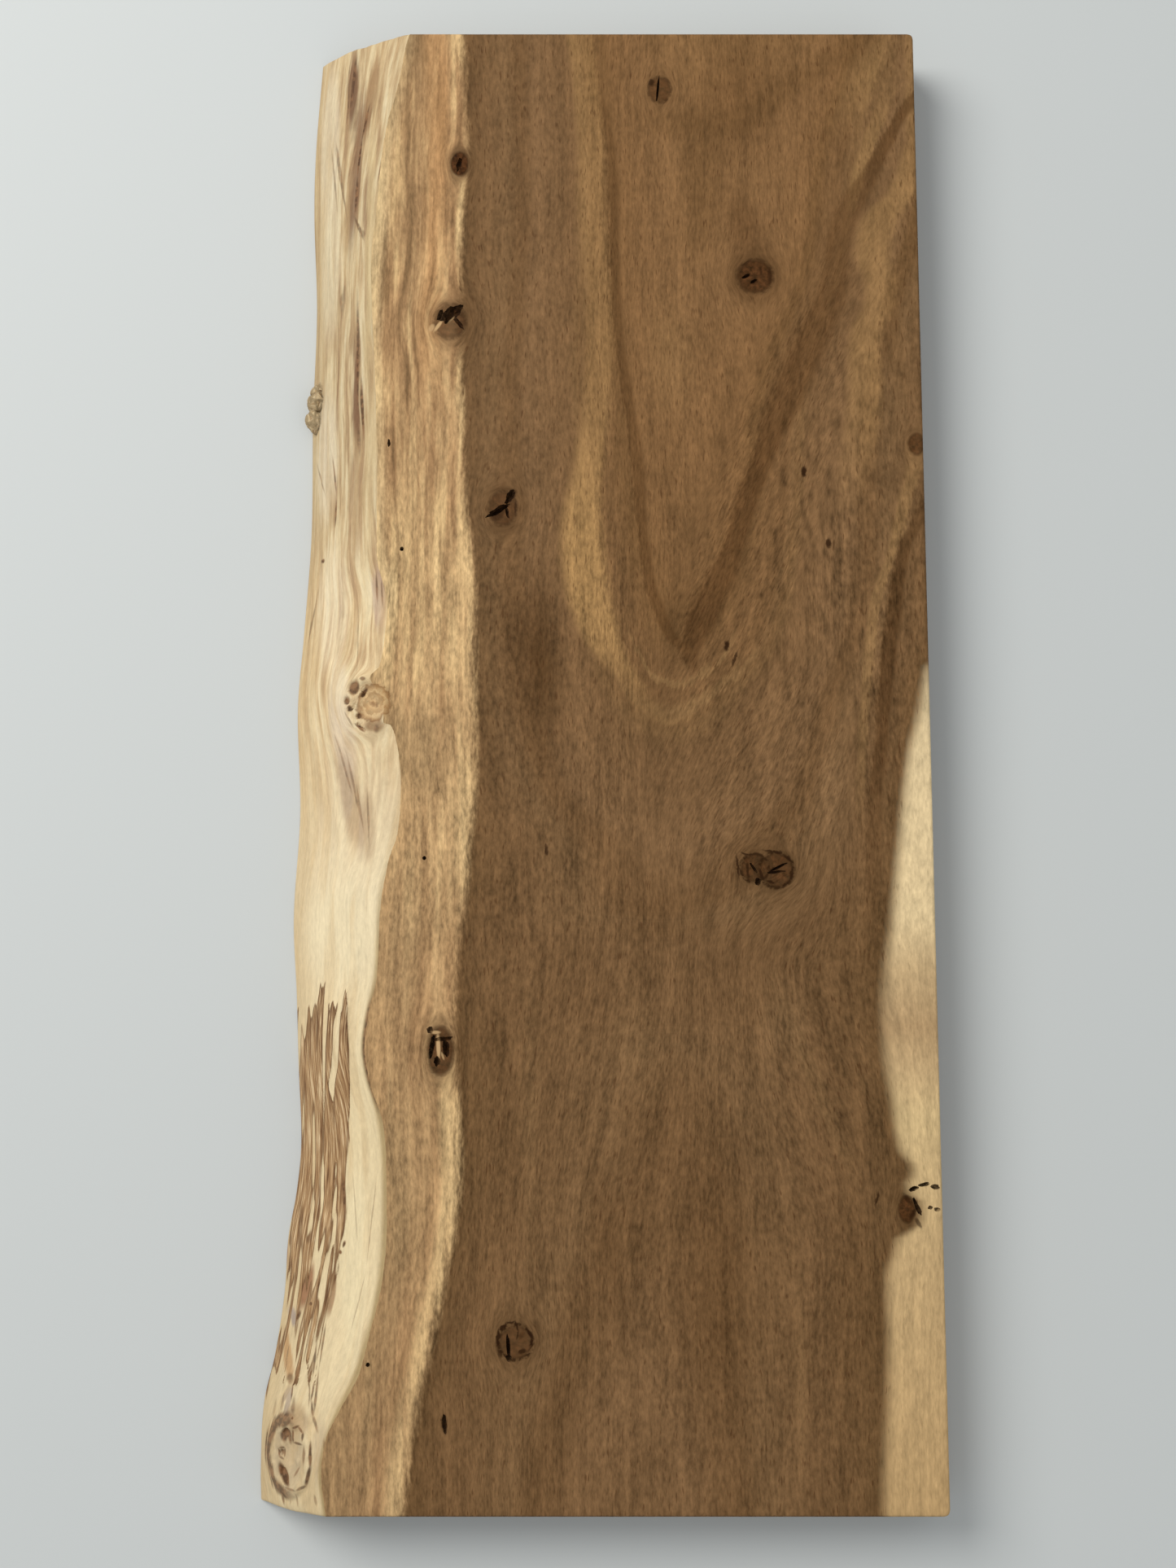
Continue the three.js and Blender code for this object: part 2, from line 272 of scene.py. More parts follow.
# Dark lines on the natural side, in the same way. The spots at the two side knots sit over their pits,
# as dark wood and painted shade.
SIDE_MARKS = [
    (650.9, 294.1, 3, 1.9, 25, 0.5), (684.5, 307.5, 24, 0.7, 11, 0.6),
    (617.2, 305.2, 4.2, 2, 2, 0.45), (555.4, 292.6, 18, 1.1, 3, 0.9),
    (538.2, 294.5, 9, 1.2, 3, 0.5), (522.1, 308.4, 12.5, 0.6, 7, 0.7),
    (501.7, 307.2, 8.8, 0.6, -2, 0.7), (522.5, 316.5, 10.5, 0.5, 16, 0.5),
    (458.3, 283.2, 9, 0.7, 4, 0.7), (454.8, 280.5, 8, 0.6, 4, 0.6),
    (448, 319.7, 18, 0.7, -11, 0.5), (434, 293.3, 22, 0.5, 0, 0.4),
    (477.5, 314.3, 1.4, 1.1, 0, 0.9),
    (406.9, 294.4, 4, 2.6, -15, 0.75), (403.6, 289.1, 3, 1.2, -38, 0.9),
    (400.5, 298.5, 2.2, 1.8, 0, 0.6), (396.1, 296.8, 1.4, 2, -59, 0.85),
    (392.1, 292.1, 1.8, 1.7, 0, 0.9), (385.4, 291.1, 4.2, 0.9, 50, 0.9),
    (410.4, 289.9, 1.3, 1.9, -10, 0.8), (384.4, 282.4, 2.6, 1.8, 0, 0.5),
    (390.1, 297.2, 5.4, 0.6, 30, 0.5), (345, 291, 14, 0.7, 10, 0.5),
    (356, 294.5, 20, 0.8, 14, 0.5), (364, 299, 14, 0.7, 17, 0.5),
    (340, 286.4, 16, 0.8, 4, 0.5), (374, 302, 12, 0.6, 20, 0.4),
    (55.1, 320.6, 4.4, 0.6, -2, 0.75), (48.8, 319.3, 5, 1.2, -4, 0.5),
    (43.6, 319.4, 0.9, 0.9, -18, 0.95), (41, 322.8, 5, 1.7, -54, 0.8),
    (34.3, 324, 3.4, 2.4, 6, 0.9), (34.5, 320.7, 3.8, 1.4, 7, 0.8),
    (35.2, 318.9, 3.8, 0.8, 1, 0.85), (39.9, 317.2, 2.6, 0.8, -65, 0.85),
    (39, 314.6, 2.4, 0.8, 43, 0.8), (36.1, 313.4, 2.8, 0.8, -7, 0.8),
    (32.2, 316.1, 3, 0.8, -88, 0.75), (25.9, 326.5, 2.2, 0.7, 11, 0.8),
    (26.5, 323.5, 2.5, 0.7, -3, 0.75), (28.5, 324.9, 1.8, 0.7, -77, 0.7),
    (23.8, 325.2, 1.8, 0.7, 70, 0.6), (18.2, 325, 4, 1.8, 12, 0.95),
    (14, 322.4, 3.8, 1.9, 46, 0.95), (28.2, 308.9, 7.4, 1, 3, 0.9),
    (18.6, 309.7, 6.2, 1.2, -13, 0.9), (27.6, 312.4, 5, 0.9, -1, 0.65),
    (12.4, 313.2, 3.8, 0.9, -61, 0.7), (10.8, 319.5, 4.2, 0.8, 86, 0.65),
    (19.1, 316.1, 3.6, 0.6, -30, 0.65), (5.3, 323.8, 3.8, 1.1, 12, 0.8),
    (6.3, 315.6, 3.6, 0.6, 8, 0.5), (7.4, 306, 3, 0.8, 11, 0.5),
    (5.9, 319.2, 3.2, 0.5, -3, 0.45), (56.4, 309.5, 5.4, 0.7, -6, 0.8),
    (54.6, 311, 6.2, 0.5, 2, 0.6), (48.6, 309, 4.6, 0.7, 8, 0.75),
    (42.5, 307.3, 4.8, 1, 23, 0.65), (32.5, 301.5, 4.4, 1.1, 12, 0.5),
    (45.5, 330.4, 6, 0.7, -10, 0.35), (49.7, 325.6, 5.4, 0.8, -9, 0.4),
    (61, 322.1, 2.9, 2.3, 4, 0.6), (71, 309, 9, 0.7, -6, 0.75),
    (585, 295.6, 34, 1.1, 1, 0.8),
    (742, 301.5, 18, 1.1, -5, 0.8), (731.6, 304.4, 25, 0.5, 0, 0.55),
    (714.8, 293.9, 11, 0.9, -12, 0.9), (695.8, 296.9, 12, 1, -6, 0.9),
    (674.6, 298.4, 13, 0.8, -3, 0.8), (655.1, 296.2, 9.5, 0.9, 20, 0.7),
    (692.7, 308.4, 20, 1, 10, 0.6), (688.2, 311.6, 21, 0.6, 7, 0.5),
    (685.3, 284.9, 10, 0.6, -9, 0.8), (616.1, 304.7, 14, 1, -3, 0.5),
    (150.6, 296, 9, 1.1, 6, 0.8), (127, 295.4, 2.1, 0.9, -18, 0.95),
    (123, 297.2, 1.2, 0.9, 3, 0.95), (90.8, 318.9, 3, 1.1, -23, 0.85),
    (97.2, 312.4, 1.2, 1, -45, 0.85), (78.2, 305.4, 11.5, 0.7, -7, 0.75),
    (56.5, 307.5, 11.5, 0.7, -4, 0.75), (80.2, 313.3, 14, 0.6, -10, 0.6),
    (144.5, 289.7, 18, 0.4, 6, 0.35), (139.1, 281, 24, 0.4, -6, 0.4),
    (99.9, 287.1, 17, 0.4, -14, 0.35),
]

# Light splinters in and beside the hollows of two knots, in the same way
SPLINTERS = [
    (598, 253, 4.4, 1.1, -35, 0.95), (602.8, 246.8, 3.4, 0.8, -45, 0.85),
    (597, 256.4, 2.6, 1.6, -30, 0.7), (224, 248.8, 7.6, 1.2, 3, 0.95),
    (231, 250.2, 1, 2.8, 0, 0.8), (219.4, 246.6, 2.4, 0.7, 20, 0.6),
]

# Soft stains of the heartwood: along, across, half length, half width, lean, share, colour
STAINS = [
    (738, 26, 40, 18, -0.45, 0.5, (144, 111, 71)),
    (418, 200, 78, 20, 0.08, 0.85, (78, 54, 31)),
    (395, 222, 90, 10, 0, 0.3, (98, 72, 45)),
    (582, 130, 50, 18, 0, 0.35, (148, 113, 73)),
    (486, 120, 44, 20, 0, 0.35, (104, 77, 49)),
    (726, 98, 58, 38, -0.1, 0.6, (96, 68, 41)),
    (672, 116, 66, 15, 0, 0.55, (102, 74, 45)),
    (652, 93, 32, 14, 0.2, 0.65, (90, 63, 38)),
    (445, 117, 20, 9, -0.3, 0.25, (84, 58, 34)),
    (65, 72, 70, 6, 0, 0.4, (130, 99, 65)),
    (205, 61, 70, 7, 0.38, 0.45, (130, 100, 66)),
    (100, 46, 95, 17, 0, 0.3, (98, 71, 44)),
    (190, 204, 100, 8, 0, 0.35, (128, 99, 66)),
    (140, 168, 85, 12, 0.12, 0.35, (96, 69, 43)),
    (108, 106, 90, 42, -0.05, 0.45, (92, 65, 39)),
    (286, 140, 16, 34, 0, 0.4, (94, 67, 41)),
    (236, 76, 34, 20, 0, 0.4, (138, 107, 73)),
    (345, 52, 54, 16, 0, 0.4, (138, 106, 73)),
    (225, 150, 45, 16, 0.1, 0.3, (130, 100, 67)),
]

# Long bands of the figure on the front face: their colour, then (along, across, half width, share)
BANDS = [
    ((152, 117, 75), [
        (490, 40, 9, 0), (520, 36, 11, 0.2), (554, 31, 12, 0.45), (590, 31, 11, 0.6),
        (617, 23, 11, 0.55), (641, 26, 12, 0.6), (673, 10, 10, 0.6), (700, 0, 8, 0.4),
    ]),
    ((104, 76, 47), [
        (560, 12, 6, 0), (585, 16, 7, 0.35), (612, 17, 7, 0.45), (633, 10, 7, 0.5),
        (657, 2, 7, 0.5), (680, -6, 7, 0.4),
    ]),
    ((150, 116, 74), [
        (660, 36, 3, 0), (679, 33, 4.5, 0.5), (698, 27, 5, 0.5), (720, 18, 6, 0.3), (745, 8, 6, 0),
    ]),
    ((94, 66, 39), [
        (415, 120, 3, 0), (424, 124, 4, 0.55), (432, 131, 4.5, 0.75), (447, 138, 4.5, 0.8),
        (463, 143, 4.2, 0.75), (488, 146, 4.2, 0.7), (526, 148, 4.5, 0.7), (559, 152.6, 4.5, 0.65),
        (588, 156.5, 4.5, 0.6), (614, 157.7, 4.5, 0.6), (649, 159, 4.5, 0.6), (673, 159, 4.5, 0.55),
        (700, 162, 4.5, 0.5), (736, 170, 4.5, 0.45), (762, 174, 4.5, 0.4),
    ]),
    ((92, 64, 38), [
        (412, 118, 3, 0), (422, 121, 5, 0.6), (436, 118, 10, 0.85), (452, 112, 12, 0.85),
        (466, 106, 11, 0.85), (480, 101, 8.5, 0.85), (502, 95, 8.5, 0.88), (528, 86, 9, 0.85),
        (554, 75, 13, 0.75), (580, 64, 14.5, 0.75), (600, 55.5, 14, 0.7), (622, 47, 11, 0.65),
        (646, 43, 9.5, 0.6), (665, 36, 10, 0.6), (681, 27, 7, 0.65), (698, 18.5, 5.5, 0.75),
        (719, 5.5, 5, 0.75), (735, -6, 5, 0.6), (762, -26, 5, 0.5),
    ]),
    ((146, 113, 73), [
        (330, 40, 3, 0), (370, 37, 3.5, 0.3), (403, 33.5, 3.5, 0.45), (447, 29, 3.5, 0.45),
        (477, 20, 4, 0.5), (497, 14, 5, 0.5), (525, 6, 5, 0.3), (550, 0, 5, 0),
    ]),
    ((86, 60, 36), [
        (250, 36, 6, 0), (300, 34, 5.5, 0.3), (352, 30.6, 5, 0.6), (371, 27.5, 5, 0.75),
        (403, 24, 5.5, 0.8), (425, 22, 5.5, 0.8), (447, 19, 5.5, 0.8), (474, 14.5, 5, 0.75),
        (494, 5, 5, 0.6), (520, -6, 5, 0.5),
    ]),
    ((164, 127, 81), [
        (385, 128, 5, 0), (392, 140, 7, 0.1), (400, 147, 8, 0.22), (410, 153, 9, 0.38),
        (422, 162, 11, 0.6), (439, 170, 14, 0.85), (466, 176.5, 15, 0.95), (494, 178.5, 14, 0.85),
        (522, 175, 11, 0.6), (559, 169.5, 10, 0.4), (600, 168, 10, 0.33), (650, 170, 10, 0.33),
        (700, 172, 10, 0.36), (762, 180, 10, 0.35),
    ]),
]

# Bands that run across the slab: their colour, then (across, along, half width, share)
CROSS_BANDS = [
    ((102, 74, 45), [
        (10, 775, 12, 0), (25, 761, 12, 0.35), (41, 750, 12, 0.45), (64, 736, 12, 0.45),
        (83, 720, 12, 0.45), (103, 711, 11, 0.45), (124, 711, 11, 0.45), (137, 711, 9, 0.4),
        (150, 722, 8, 0),
    ]),
    ((152, 118, 77), [
        (88, 425, 3, 0), (101, 411, 4, 0.3), (115, 400, 5, 0.35), (131, 391.5, 6, 0.3),
        (142, 393, 6, 0.2), (152, 402, 6, 0),
    ]),
    ((144, 112, 73), [
        (98, 434, 2, 0), (105.6, 422, 2.5, 0.4), (115, 412.7, 2.5, 0.42), (128.5, 407, 2.5, 0.42),
        (137.8, 410, 2.5, 0.45), (147, 422, 2.5, 0.4), (155, 441, 2.5, 0),
    ]),
]

# Where the grain leans a little: along, across, half length, half width, slope. It drifts aside
# by a share of what that slope would give if it held all through.
LEANS = [
    (200, 168, 95, 80, 0.22),
    (205, 56, 100, 85, -0.16),
    (284, 84, 26, 60, 0.5),
]
DRIFT_SHARE = 0.67

# Patches where it leans much, beside the V figure and below it, in the same way but with the
# lean of the patch itself. Then by how many degrees the grain leans there.
LEANING_PATCHES = [(500, 84, 215, 42, -0.30), (350, 82, 98, 54, -0.2)]
LEANING_TURN = 26

# Where the grain is most mottled: along, across, half length, half width
FIGURED_WOOD = (500, 48, 190, 70)

# Soft stains of the natural side, in the same way
SIDE_STAINS = [
    (738, 301.8, 32, 4.2, -0.02, 0.95, (130, 95, 68)),
    (730, 290.8, 30, 4, -0.12, 0.9, (142, 104, 71)),
    (668, 291.4, 26, 3.6, -0.05, 0.7, (150, 114, 82)),
    (690, 298.5, 60, 4.4, -0.05, 0.85, (138, 102, 73)),
    (712, 315, 60, 8, 0, 0.5, (242, 226, 192)),
    (650, 313, 70, 8, 0, 0.45, (244, 228, 192)),
    # The next two pale stripes, along the wane edge, are pale sapwood and a painted highlight
    (640, 289.5, 110, 3.4, 0, 0.6, (222, 196, 146)),
    (520, 287.8, 60, 4.2, 0, 0.5, (220, 194, 146)),
    (566, 296.2, 40, 3, 0.02, 0.95, (132, 96, 68)),
    (505, 295.5, 40, 5, 0, 0.6, (172, 138, 102)),
    (535, 313, 46, 8, 0, 0.6, (244, 228, 196)),
    (450, 308, 46, 12, 0, 0.3, (238, 222, 192)),
    (452, 282.5, 22, 4, 0.05, 0.6, (188, 160, 140)),
    (350, 296, 38, 8, 0.2, 0.75, (170, 142, 114)),
    (335, 286, 26, 5, 0.05, 0.55, (178, 148, 112)),
    (400, 303, 30, 7, 0, 0.6, (230, 212, 180)),
    (382, 300, 26, 8, 0.2, 0.5, (214, 192, 164)),
    (115.4, 329, 15, 3.4, -0.08, 0.9, (166, 118, 82)),
    (105.2, 315, 15, 3.6, -0.2, 0.9, (160, 112, 78)),
    (102.6, 301.5, 14, 2.6, -0.2, 0.7, (150, 106, 70)),
    (89.8, 322, 6, 4, 0.3, 0.8, (168, 150, 138)),
    (71.2, 324.4, 16, 3.6, 0.2, 0.8, (190, 146, 98)),
    (50.8, 322.5, 9, 3, -0.1, 0.7, (168, 148, 132)),
    (25, 321, 20, 13, 0, 0.7, (188, 164, 130)),
    (43, 317, 9, 9, 0, 0.6, (158, 126, 94)),
    (386.5, 283, 5, 7, 0, 0.8, (134, 100, 66)),
    (28, 303, 24, 6, 0.1, 0.5, (196, 172, 138)),
    (120, 290, 60, 9, 0, 0.7, (238, 219, 176)),
    (280, 300, 34, 26, 0, 0.7, (232, 214, 175)),
]

# Whorl of a small branch that was cut across, half on the side and half on the front:
# along, across, half length, half width
WHORL = (397.8, 284.1, 9.3, 9)

# The tree's rings. The pith runs behind the slab: where it lies across, and how deep. The rings
# bulge over one stretch, which turns the V figure above it upside down below it.
PITH_ACROSS = [
    (0, 152), (75, 148), (130, 138), (190, 131), (230, 136), (262, 142), (290, 138), (318, 127),
    (360, 130), (400, 131), (430, 126), (460, 124), (500, 123), (560, 122), (600, 116.4),
    (650, 108.9), (700, 105.9), (762, 99.4),
]
PITH_DEPTH = [
    (0, 213.1), (75, 215.5), (100, 216.4), (190, 219), (262, 218), (318, 215.5), (350, 210),
    (375, 206.5), (402, 203.5), (430, 200.5), (460, 199), (500, 197.8), (560, 196.8),
    (600, 195.1), (650, 193), (700, 191.4), (762, 186.6),
]
RING_BULGE = [(0, 0), (180, 0), (230, 5), (262, 11), (285, 6), (312, 0), (762, 0)]
APEX_RADIUS = 200.0

# Where the dark heartwood ends on the front face, on the natural side and on the sawn side
HEART_OUTER = [
    (0, 263.4), (20, 261.4), (50, 256.4), (80, 250.4), (110, 245.4), (140, 240.4),
    (170, 237.4), (200, 238.4), (240, 241.4), (262, 240.8), (290, 237.8), (320, 234.6), (360, 231.6),
    (400, 230.6), (440, 231.2), (480, 234), (500, 237.4), (550, 240.4), (600, 242.4),
    (640, 240.4), (700, 240.4), (762, 242.4),
]
HEART_INNER = [
    (0, 31.4), (50, 28.4), (80, 27.4), (110, 27.6), (122, 24.6), (132, 21.5), (138, 12.5),
    (146, 11.5), (151, 16), (156, 17.5), (163, 14.5), (170, 18.2), (176, 21.4), (200, 24.6),
    (236, 27.6), (260, 26), (284, 22), (310, 18.8), (340, 15.2), (370, 10.6), (390, 5.8),
    (416, 0.8), (440, -12), (762, -12),
]


def colour(red, green, blue):
    """A colour given as it looks on a screen, as the linear values that shaders use."""
    shares = [c / 255 for c in (red, green, blue)]
    linear = [s / 12.92 if s < 0.04045 else ((s + 0.055) / 1.055) ** 2.4 for s in shares]
    return (*linear, 1.0)


def smooth_line(points):
    """The value of a line at any place along the slab, by a smooth curve through its points."""
    at = np.array([p[0] for p in points], float)
    value = np.array([p[1] for p in points], float)
    slope = np.gradient(value, at)
    slope[1:-1] = (value[2:] - value[:-2]) / (at[2:] - at[:-2])

    def evaluate(along):
        along = np.clip(along, at[0], at[-1])
        i = np.clip(np.searchsorted(at, along, side="right") - 1, 0, len(at) - 2)
        step = at[i + 1] - at[i]
        t = (along - at[i]) / step
        rise = (1 - t) ** 2
        fall = t * t
        return (
            value[i] * (1 + 2 * t) * rise
            + slope[i] * step * t * rise
            + value[i + 1] * (3 - 2 * t) * fall
            - slope[i + 1] * step * (1 - t) * fall
        )

    return evaluate


foot_at = smooth_line(FOOT_LINE)
wane_at = smooth_line(WANE_LINE)
groove_at = smooth_line(GROOVE_LINE)
bark_at = smooth_line(BARK_LINE)


def smoothstep(value, low, high):
    t = np.clip((value - low) / (high - low), 0, 1)
    return t * t * (3 - 2 * t)


def noise_field(along, across, grain, width, seed):
    """Smooth noise from -1 to 1, drawn out with the grain."""
    flat = zip((along / grain).ravel(), (across / width).ravel())
    values = [noise.noise(Vector((a, b, seed))) for a, b in flat]
    return np.array(values).reshape(along.shape)


def flute_relief(along, across):
    relief = np.zeros_like(across)
    for pitch, depth, wander, wander_length, start in FLUTES:
        drift = wander * np.sin(2 * np.pi * (along + start * pitch) / wander_length)
        relief += depth * np.sin(2 * np.pi * (across + drift + start) / pitch)
    return relief


def out_from(along, across, oval_shape):
    """How far out a place lies from the middle of an oval, whose rim is at 1."""
    at, over, half_length, half_width = oval_shape
    return np.hypot((along - at) / half_length, (across - over) / half_width)


def knot_relief(along, across):
    relief = np.zeros_like(across)
    for *shape, rim, hollow, _ in SIDE_KNOTS:
        radius = out_from(along, across, shape)
        relief += rim * np.exp(-(((radius - 1) / RIM_SHARPNESS) ** 2))
        relief -= hollow * np.exp(-((radius / HEART_SPREAD) ** 2))
    return relief


def burr_relief(along, across):
    """Rough, knobbly wood inside the side knots, and the furrow round one of them."""
    relief = np.zeros_like(across)
    knobs = noise_field(along, across, 3.4, 3.0, 2.6) + 0.6 * noise_field(along, across, 1.9, 1.7, 7.7)
    for *shape, _, _, furrow in SIDE_KNOTS:
        radius = out_from(along, across, shape)
        relief += BURR_HEIGHT * knobs * smoothstep(1.15 - radius, 0, 0.25)
        relief -= furrow * np.exp(-(((radius - FURROW_RADIUS) / FURROW_WIDTH) ** 2))
    return relief


def pit_share(along, across):
    """1 in the middle of a pit of a side knot, 0 outside the pits."""
    share = np.zeros_like(across)
    for at, over, half_length, half_width, depth, turn in SIDE_PITS:
        angle = math.radians(turn)
        aside = over - across
        ahead = along - at
        lengthwise = (ahead * math.cos(angle) - aside * math.sin(angle)) / half_length
        crosswise = (ahead * math.sin(angle) + aside * math.cos(angle)) / half_width
        share = np.maximum(share, depth * smoothstep(1.15 - np.hypot(lengthwise, crosswise), 0, 0.7))
    return share


def groove_share(along, across):
    aside = (across - groove_at(along)) / GROOVE_HALF_WIDTH
    run = smoothstep(along, GROOVE_LINE[0][0], GROOVE_LINE[0][0] + GROOVE_FADE)
    return run * np.exp(-aside * aside)


def bark_margin(along, across):
    """How far in millimetres a place lies inside what is left of the inner bark."""
    spikes = noise_field(along, across, 90, 2.7, 3.7)
    top = BARK_LINE[-1][0] - 9 + 26 * spikes - along
    foot = (along - BARK_LINE[0][0] - 12 + 20 * noise_field(along, across, 70, 4, 6.2)) / 4
    frayed = 1.6 * noise_field(along, across, 14, 4.0, 9.1)
    edge = across + frayed - bark_at(along)

    # Gaps between the strands: short and slanting below, longer and upright above
    thinning = smoothstep(along, 85, 190)
    long_gaps = noise_field(along, across, 44, 2.6, 12.4)
    short_gaps = noise_field(along, across + 0.16 * along, 26, 2.1, 3.1)
    gaps = thinning * long_gaps + (1 - thinning) * (short_gaps - 0.02)
    strands = 5 * (gaps + 0.34 * thinning)

    # A winding slit up the middle
    slit = 301.6 + 1.5 * np.sin(along / 14.0) + 1.2 * noise_field(along, across * 0, 11, 1, 4.4)
    slit_width = 1.7 * smoothstep(noise_field(along, across * 0, 17, 1, 8.8), -0.35, 0.3)
    slit_width *= smoothstep(along, 150, 190)
    from_slit = 1.6 * (np.abs(across - slit) - slit_width) + 3 * (slit_width < 0.1)
    return np.clip(np.minimum.reduce([top / 3, foot, edge, strands, from_slit]), -3, 3)


def section(reach):
    inside = np.clip(1 - np.clip(reach, 0, 1) ** SECTION_FLATNESS, 0, 1)
    return inside ** (1 / SECTION_STEEPNESS)


def side_height(along, across, fine):
    """Height of the natural side above the back, with the fine relief if it is asked for."""
    wane = wane_at(along)
    reach = (across - wane) / (foot_at(along) - wane)
    relief = (
        flute_relief(along, across)
        + knot_relief(along, across)
        - GROOVE_DEPTH * groove_share(along, across)
    )
    if fine:
        relief += 0.30 * noise_field(along, across, 55, 3.4, 1.3)
        relief += 0.16 * noise_field(along, across, 18, 1.5, 5.9)
        bark = smoothstep(bark_margin(along, across), -0.4, 0.7)
        fibres = noise_field(along, across, 26, 1.9, 8.2)
        relief += bark * (BARK_THICKNESS + 0.22 * fibres)
        relief -= pit_share(along, across)
        relief += burr_relief(along, across)
    outside = (SLAB_THICKNESS + FOOT_TUCK) * section(reach) - FOOT_TUCK
    outside += relief * (1 - np.clip(reach, 0, 1) ** RELIEF_FADE)
    inward = np.clip((wane - across) / INNER_MARGIN, 0, 1)
    return np.where(across < wane, outside + inward * (INNER_RISE - relief), outside)


def sawn_line(alongs):
    """Where the front saw cut meets the natural side, found from the side's own height."""
    steps = np.arange(0, SEARCH_WIDTH, SEARCH_STEP)
    along, step = np.meshgrid(alongs, steps, indexing="ij")
    across = wane_at(along) - INNER_MARGIN + step
    under = side_height(along, across, False) < SLAB_THICKNESS
    first = np.argmax(under, axis=1)
    return wane_at(alongs) - INNER_MARGIN + steps[first]


def to_model(along, across, height):
    """A place on the slab, with its height above the back, as a point of the model in metres."""
    x = SAWN_EDGE_X - across
    y = BOTTOM_END_Y + along
    z = FRONT_Z - SLAB_THICKNESS + height
    return np.stack([x, y, z], axis=-1) * MM


def row_places():
    """Rows along the slab: close together at the eased ends and over the side knots."""
    places = [EASED_STEPS[-1]]
    while places[-1] < SLAB_LENGTH - 1.5 * EASED_STEPS[-1]:
        over_knot = any(abs(places[-1] - k[0]) < k[2] * 1.4 for k in SIDE_KNOTS)
        places.append(places[-1] + (KNOT_ROW_STEP if over_knot else ROW_STEP))
    return np.concatenate([EASED_STEPS[:-1], places[:-1], SLAB_LENGTH - EASED_STEPS[::-1]])


def quarter_round(distance):
    """How far an eased arris lies below its face at a distance in from the edge."""
    inside = np.clip(1 - distance / ARRIS, 0, 1)
    return ARRIS * (1 - np.sqrt(1 - inside * inside))


def round_corner(across, along):
    """Draws the square corners at the sawn edge in to a radius."""
    middle = SLAB_LENGTH / 2
    side = np.sign(along - middle)
    past_across = CORNER_RADIUS - across
    past_along = np.abs(along - middle) - (middle - CORNER_RADIUS)
    in_corner = (past_across > 0) & (past_along > 0)
    longer = np.maximum(past_across, past_along)
    length = np.hypot(past_across, past_along) + 1e-9
    share = np.where(in_corner, longer / length, 1)
    new_across = np.where(in_corner, CORNER_RADIUS - past_across * share, across)
    new_past = middle - CORNER_RADIUS + past_along * share
    return new_across, np.where(in_corner, middle + side * new_past, along)


def front_places():
    """Along, across and height for each row and column of the front and the natural side."""
    alongs = row_places()
    cut = sawn_line(alongs)
    foot = np.minimum(foot_at(alongs), SLAB_WIDTH)
    reach = np.linspace(1, 0, SIDE_COLUMNS + 1)
    side = cut[:, None] + (foot - cut)[:, None] * reach[None, :]
    columns = EASED_STEPS[::-1]
    flat = np.linspace(1, 0, FLAT_COLUMNS + 1)[None, 1:]
    inner = columns[0] + (cut - columns[0])[:, None] * flat
    edge = np.repeat(columns[None, 1:], len(alongs), axis=0)
    across = np.concatenate([side, inner, edge], axis=1)
    along = np.repeat(alongs[:, None], across.shape[1], axis=1)
    height = np.full(across.shape, SLAB_THICKNESS)
    sloped = slice(0, SIDE_COLUMNS + 1)
    height[:, sloped] = np.clip(side_height(along[:, sloped], side, True), 0, SLAB_THICKNESS)
    height[:, 0] = 0
    height[:, SIDE_COLUMNS] = SLAB_THICKNESS
    from_end = np.minimum(along, SLAB_LENGTH - along)
    eased = quarter_round(np.minimum(from_end, across))
    height = np.maximum(height - eased * np.clip(height / EASING_HEIGHT, 0, 1), 0)
    across, along = round_corner(across, along)
    return along, across, height


def slab_front(bm):
    """The front face and the natural side, as one grid whose points are moved into place."""
    along, across, height = front_places()
    rows, columns = along.shape
    masks = {name: bm.verts.layers.float.new(name) for name in ("reach", "bark", "pit")}
    made = bmesh.ops.create_grid(bm, x_segments=columns - 1, y_segments=rows - 1, size=0.5)
    places = to_model(along, across, height)
    values = {
        "reach": (across - wane_at(along)) / (foot_at(along) - wane_at(along)),
        "bark": bark_margin(along, across),
        "pit": pit_share(along, across),
    }
    column_of = {}
    for vert in made["verts"]:
        column = round((vert.co.x + 0.5) * (columns - 1))
        row = round((vert.co.y + 0.5) * (rows - 1))
        vert.co = places[row, column]
        column_of[vert] = column
        for name, layer in masks.items():
            vert[layer] = values[name][row, column]
    for face in bm.faces:
        on_side = max(column_of[v] for v in face.verts) <= SIDE_COLUMNS
        face.material_index = 1 if on_side else 0
        face.smooth = True


def slab_back_and_edges(bm):
    """Draws the grid's rim down to the back, eases the lower arris and closes the back."""
    above = RIM_HEIGHT * MM
    rim = [e for e in bm.edges if e.is_boundary and max(v.co.z for v in e.verts) > above]
    drawn = bmesh.ops.extrude_edge_only(bm, edges=rim)
    for part in drawn["geom"]:
        if isinstance(part, bmesh.types.BMVert):
            part.co.z = 0
        if isinstance(part, bmesh.types.BMFace):
            part.material_index = 0
            part.smooth = False
    bmesh.ops.remove_doubles(bm, verts=bm.verts, dist=SAME_POINT * MM)
    rim = [e for e in bm.edges if e.is_boundary]
    back = bmesh.ops.edgeloop_fill(bm, edges=rim)
    for face in back["faces"]:
        face.material_index = 0
    bmesh.ops.recalc_face_normals(bm, faces=bm.faces)
    past_foot = cad_low.x + FOOT_WIDTH * MM

    def on_saw_cut(vert):
        return vert.co.x > past_foot or abs(abs(vert.co.y) - cad_high.y) < MM

    sawn = [e for f in back["faces"] for e in f.edges if all(map(on_saw_cut, e.verts))]
    bmesh.ops.bevel(
        bm, geom=sawn, offset=ARRIS * MM, offset_type="OFFSET", segments=3, profile=0.5,
        affect="EDGES", clamp_overlap=True, material=-1,
    )


def new_object(name, data):
    made = bpy.data.objects.new(name, data)
    bpy.context.scene.collection.objects.link(made)
    return made


